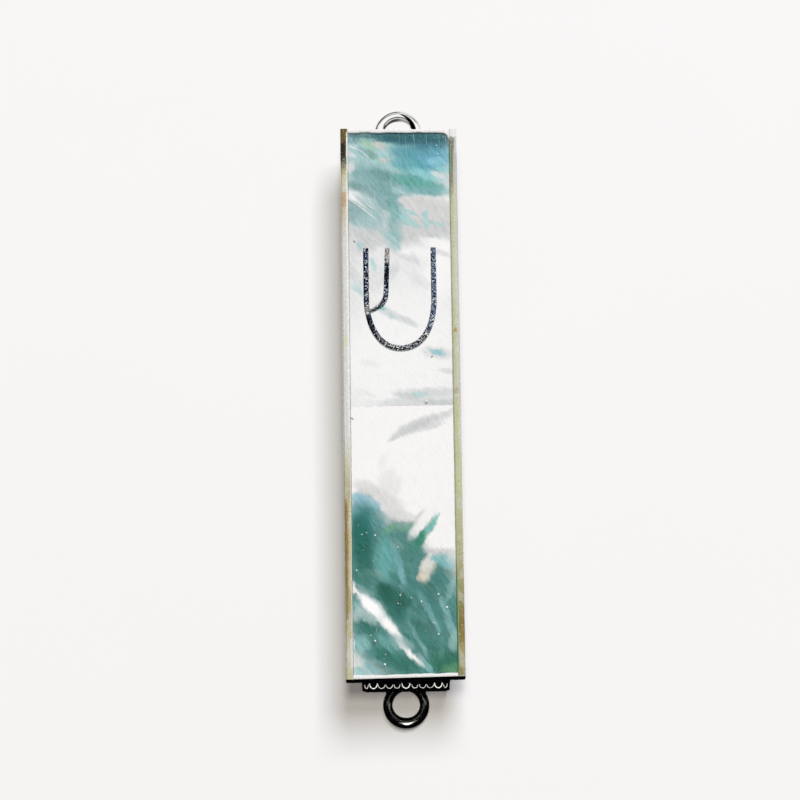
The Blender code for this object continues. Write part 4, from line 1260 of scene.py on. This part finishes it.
def build_backdrop():
    """A pale wall right behind the case, seen only from its front."""
    look = Look("pale_wall", 0.9)
    mottle = look.noise(look.mm, 0.02, 2, 0.5)
    look.finish(Base_Color=look.mix(mottle, "f7f7f7", "f5f5f5"), Specular_IOR_Level=0.0)
    clear = look.add("BsdfTransparent").outputs[0]
    both = look.add("MixShader", {0: look.geometry("Backfacing"), 1: look.shader.outputs[0], 2: clear})
    look.show(both, keep_principled=True)
    stage_sheet("backdrop_wall", [(x * WALL_REACH, WALL + 0.0003, z * WALL_REACH)
                                  for x, z in ((-1, -1), (1, -1), (1, 1), (-1, 1))], look.material)


def area_light(name, place, size, power, tint=(1.0, 1.0, 1.0)):
    """A light panel aimed at the case, which glosses and the camera don't see."""
    data = bpy.data.lights.new(name, "AREA")
    data.shape = "RECTANGLE"
    data.size, data.size_y = size
    data.energy = power
    data.color = tint
    light = bpy.data.objects.new(name, data)
    bpy.context.scene.collection.objects.link(light)
    light.location = place
    light.rotation_mode = "QUATERNION"
    light.rotation_quaternion = (-Vector(place)).to_track_quat("-Z", "Y")
    light.visible_camera = False
    light.visible_glossy = False
    return light


def build_lights():
    """A soft key from the upper right, a small frontal light, and one that only the fringes see."""
    area_light("key_light", KEY_PLACE, KEY_SIZE, KEY_POWER, KEY_TINT)
    area_light("front_light", FRONT_PLACE, FRONT_SIZE, FRONT_POWER, FRONT_TINT)
    glint = area_light("beading_light", BEADING_PLACE, BEADING_SIZE, BEADING_POWER)
    shown = bpy.data.collections.new("beading_only")
    for piece in bpy.data.objects:
        if piece.name.endswith("beading"):
            shown.objects.link(piece)
    glint.light_linking.receiver_collection = shown


def build_world():
    """Pale to the camera, dim to diffuse rays, and a studio with dark floor to glossy ones."""
    world = bpy.data.worlds.new("studio")
    world.use_nodes = True
    world.cycles.sampling_method = "NONE"
    look = Look.__new__(Look)
    look.nodes, look.links = world.node_tree.nodes, world.node_tree.links
    sideways, _, upwards = look.split(look.add("TexCoord").outputs["Generated"])
    studio = look.tint("0b0d14", "fdfdfd", upwards, -0.22, 0.04)
    left = look.product(look.band(sideways, -0.40, -0.62), look.band(upwards, 0.55, 0.25))
    studio = look.mix(left, studio, "23211c")
    flag = look.product(look.band(upwards, 0.62, 0.70), look.band(upwards, 0.90, 0.80), 0.75)
    studio = look.mix(flag, studio, "1c1c1e")
    path = look.add("LightPath").outputs
    seen = look.mix(path["Is Glossy Ray"], AMBIENT, studio)
    look.feed(look.nodes["Background"].inputs["Color"], look.mix(path["Is Camera Ray"], seen, "f5f5f5"))
    bpy.context.scene.world = world


def build_dark_surround():
    """An unseen black hood round the lower ring, so that its chrome reflects black with one glint."""
    look = Look("hood")
    x, y, z = look.split(look.scaled(look.geometry("Position"), (1 / MM,) * 3))
    towards = look.split(look.geometry("Incoming"))
    came_past = look.math("DIVIDE", look.math("SUBTRACT", -2.0, y), towards[1])
    came_past = look.math("MULTIPLY_ADD", towards[2], came_past, z)
    depth = look.math("SUBTRACT", GLINT_FROM[0], y)
    upwards = look.math("DIVIDE", look.math("SUBTRACT", z, GLINT_FROM[1]), depth)
    glint = look.spot((look.math("DIVIDE", x, depth), upwards), HOOD_GLINT, HOOD_GLINT_REACH, 0, 0.3)
    first_bounce = look.math("LESS_THAN", look.add("LightPath").outputs["Ray Depth"], 1.5)
    glint = look.product(glint, look.band(y, -0.5, -1.5), look.band(came_past, -54.0, -56.0), first_bounce)
    look.show(look.add("Emission", {"Color": look.mix(glint, "040406", GLINT_LIGHT)}))
    wide, front, back = HOOD_HALF_WIDTH, HOOD_FRONT, WALL + 0.0001
    low, high = HOOD_LOW, -HALF_LENGTH - 0.0001
    box_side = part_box("right_side_wall")[1].x
    around = left_front, right_front, right_back, left_back = (
        (-wide, front), (wide, front), (wide, back), (-wide, back))
    sides = ((left_back, right_back), (left_front, right_front), (left_front, left_back),
             (right_front, right_back))
    sheets = [[(*first, low), (*second, low), (*second, high), (*first, high)] for first, second in sides]
    sheets.append([(x, y, low) for x, y in around])
    sheets.append([(x, y, high) for x, y in ((-wide, front), (wide, front), (wide, FRONT), (-wide, FRONT))])
    for side in (-1, 1):
        lid = ((wide, FRONT), (HALF_TRAY, FRONT), (HALF_TRAY, TRAY_BACK), (box_side, TRAY_BACK),
               (box_side, back), (wide, back))
        sheets.append([(side * x, y, high) for x, y in lid])
    for number, corners in enumerate(sheets):
        sheet = stage_sheet("hood_%d" % number, corners, look.material)
        sheet.visible_camera = False
        sheet.visible_diffuse = False
        sheet.visible_shadow = False
        sheet.visible_transmission = False
        sheet.visible_volume_scatter = False


def main():
    case_metal = silver("polished_case_silver", "cfcbb2", 0.5)
    cover_metal = silver("drawn_cover_silver", "cfcdc0", 0.4, roughness=0.28, grain=(5.0, 5.0, 0.12))
    build_long_rims()
    build_end_rims(frosted_silver("frosted_end_rim_silver"))
    build_floor(case_metal)
    build_tiles()
    build_glue(dried_glue("dried_glue"))
    build_resin(clear_resin("clear_resin"))
    build_bubbles(bubble_shine("bubble_shine"))
    build_letter(glitter("diamond_cut_silver"))
    build_side_walls(case_metal)
    build_guides(case_metal)
    build_end_walls(case_metal, frosted_silver("frosted_beading_silver"))
    build_rings(case_metal, oxidised_ring_silver("bright_ring_silver"))
    build_cover(cover_metal)
    build_scroll(parchment_skin("vellum"))
    build_backdrop()
    build_dark_surround()
    build_lights()
    build_world()
    build_camera()
    bpy.context.scene.view_settings.view_transform = "Standard"


main()
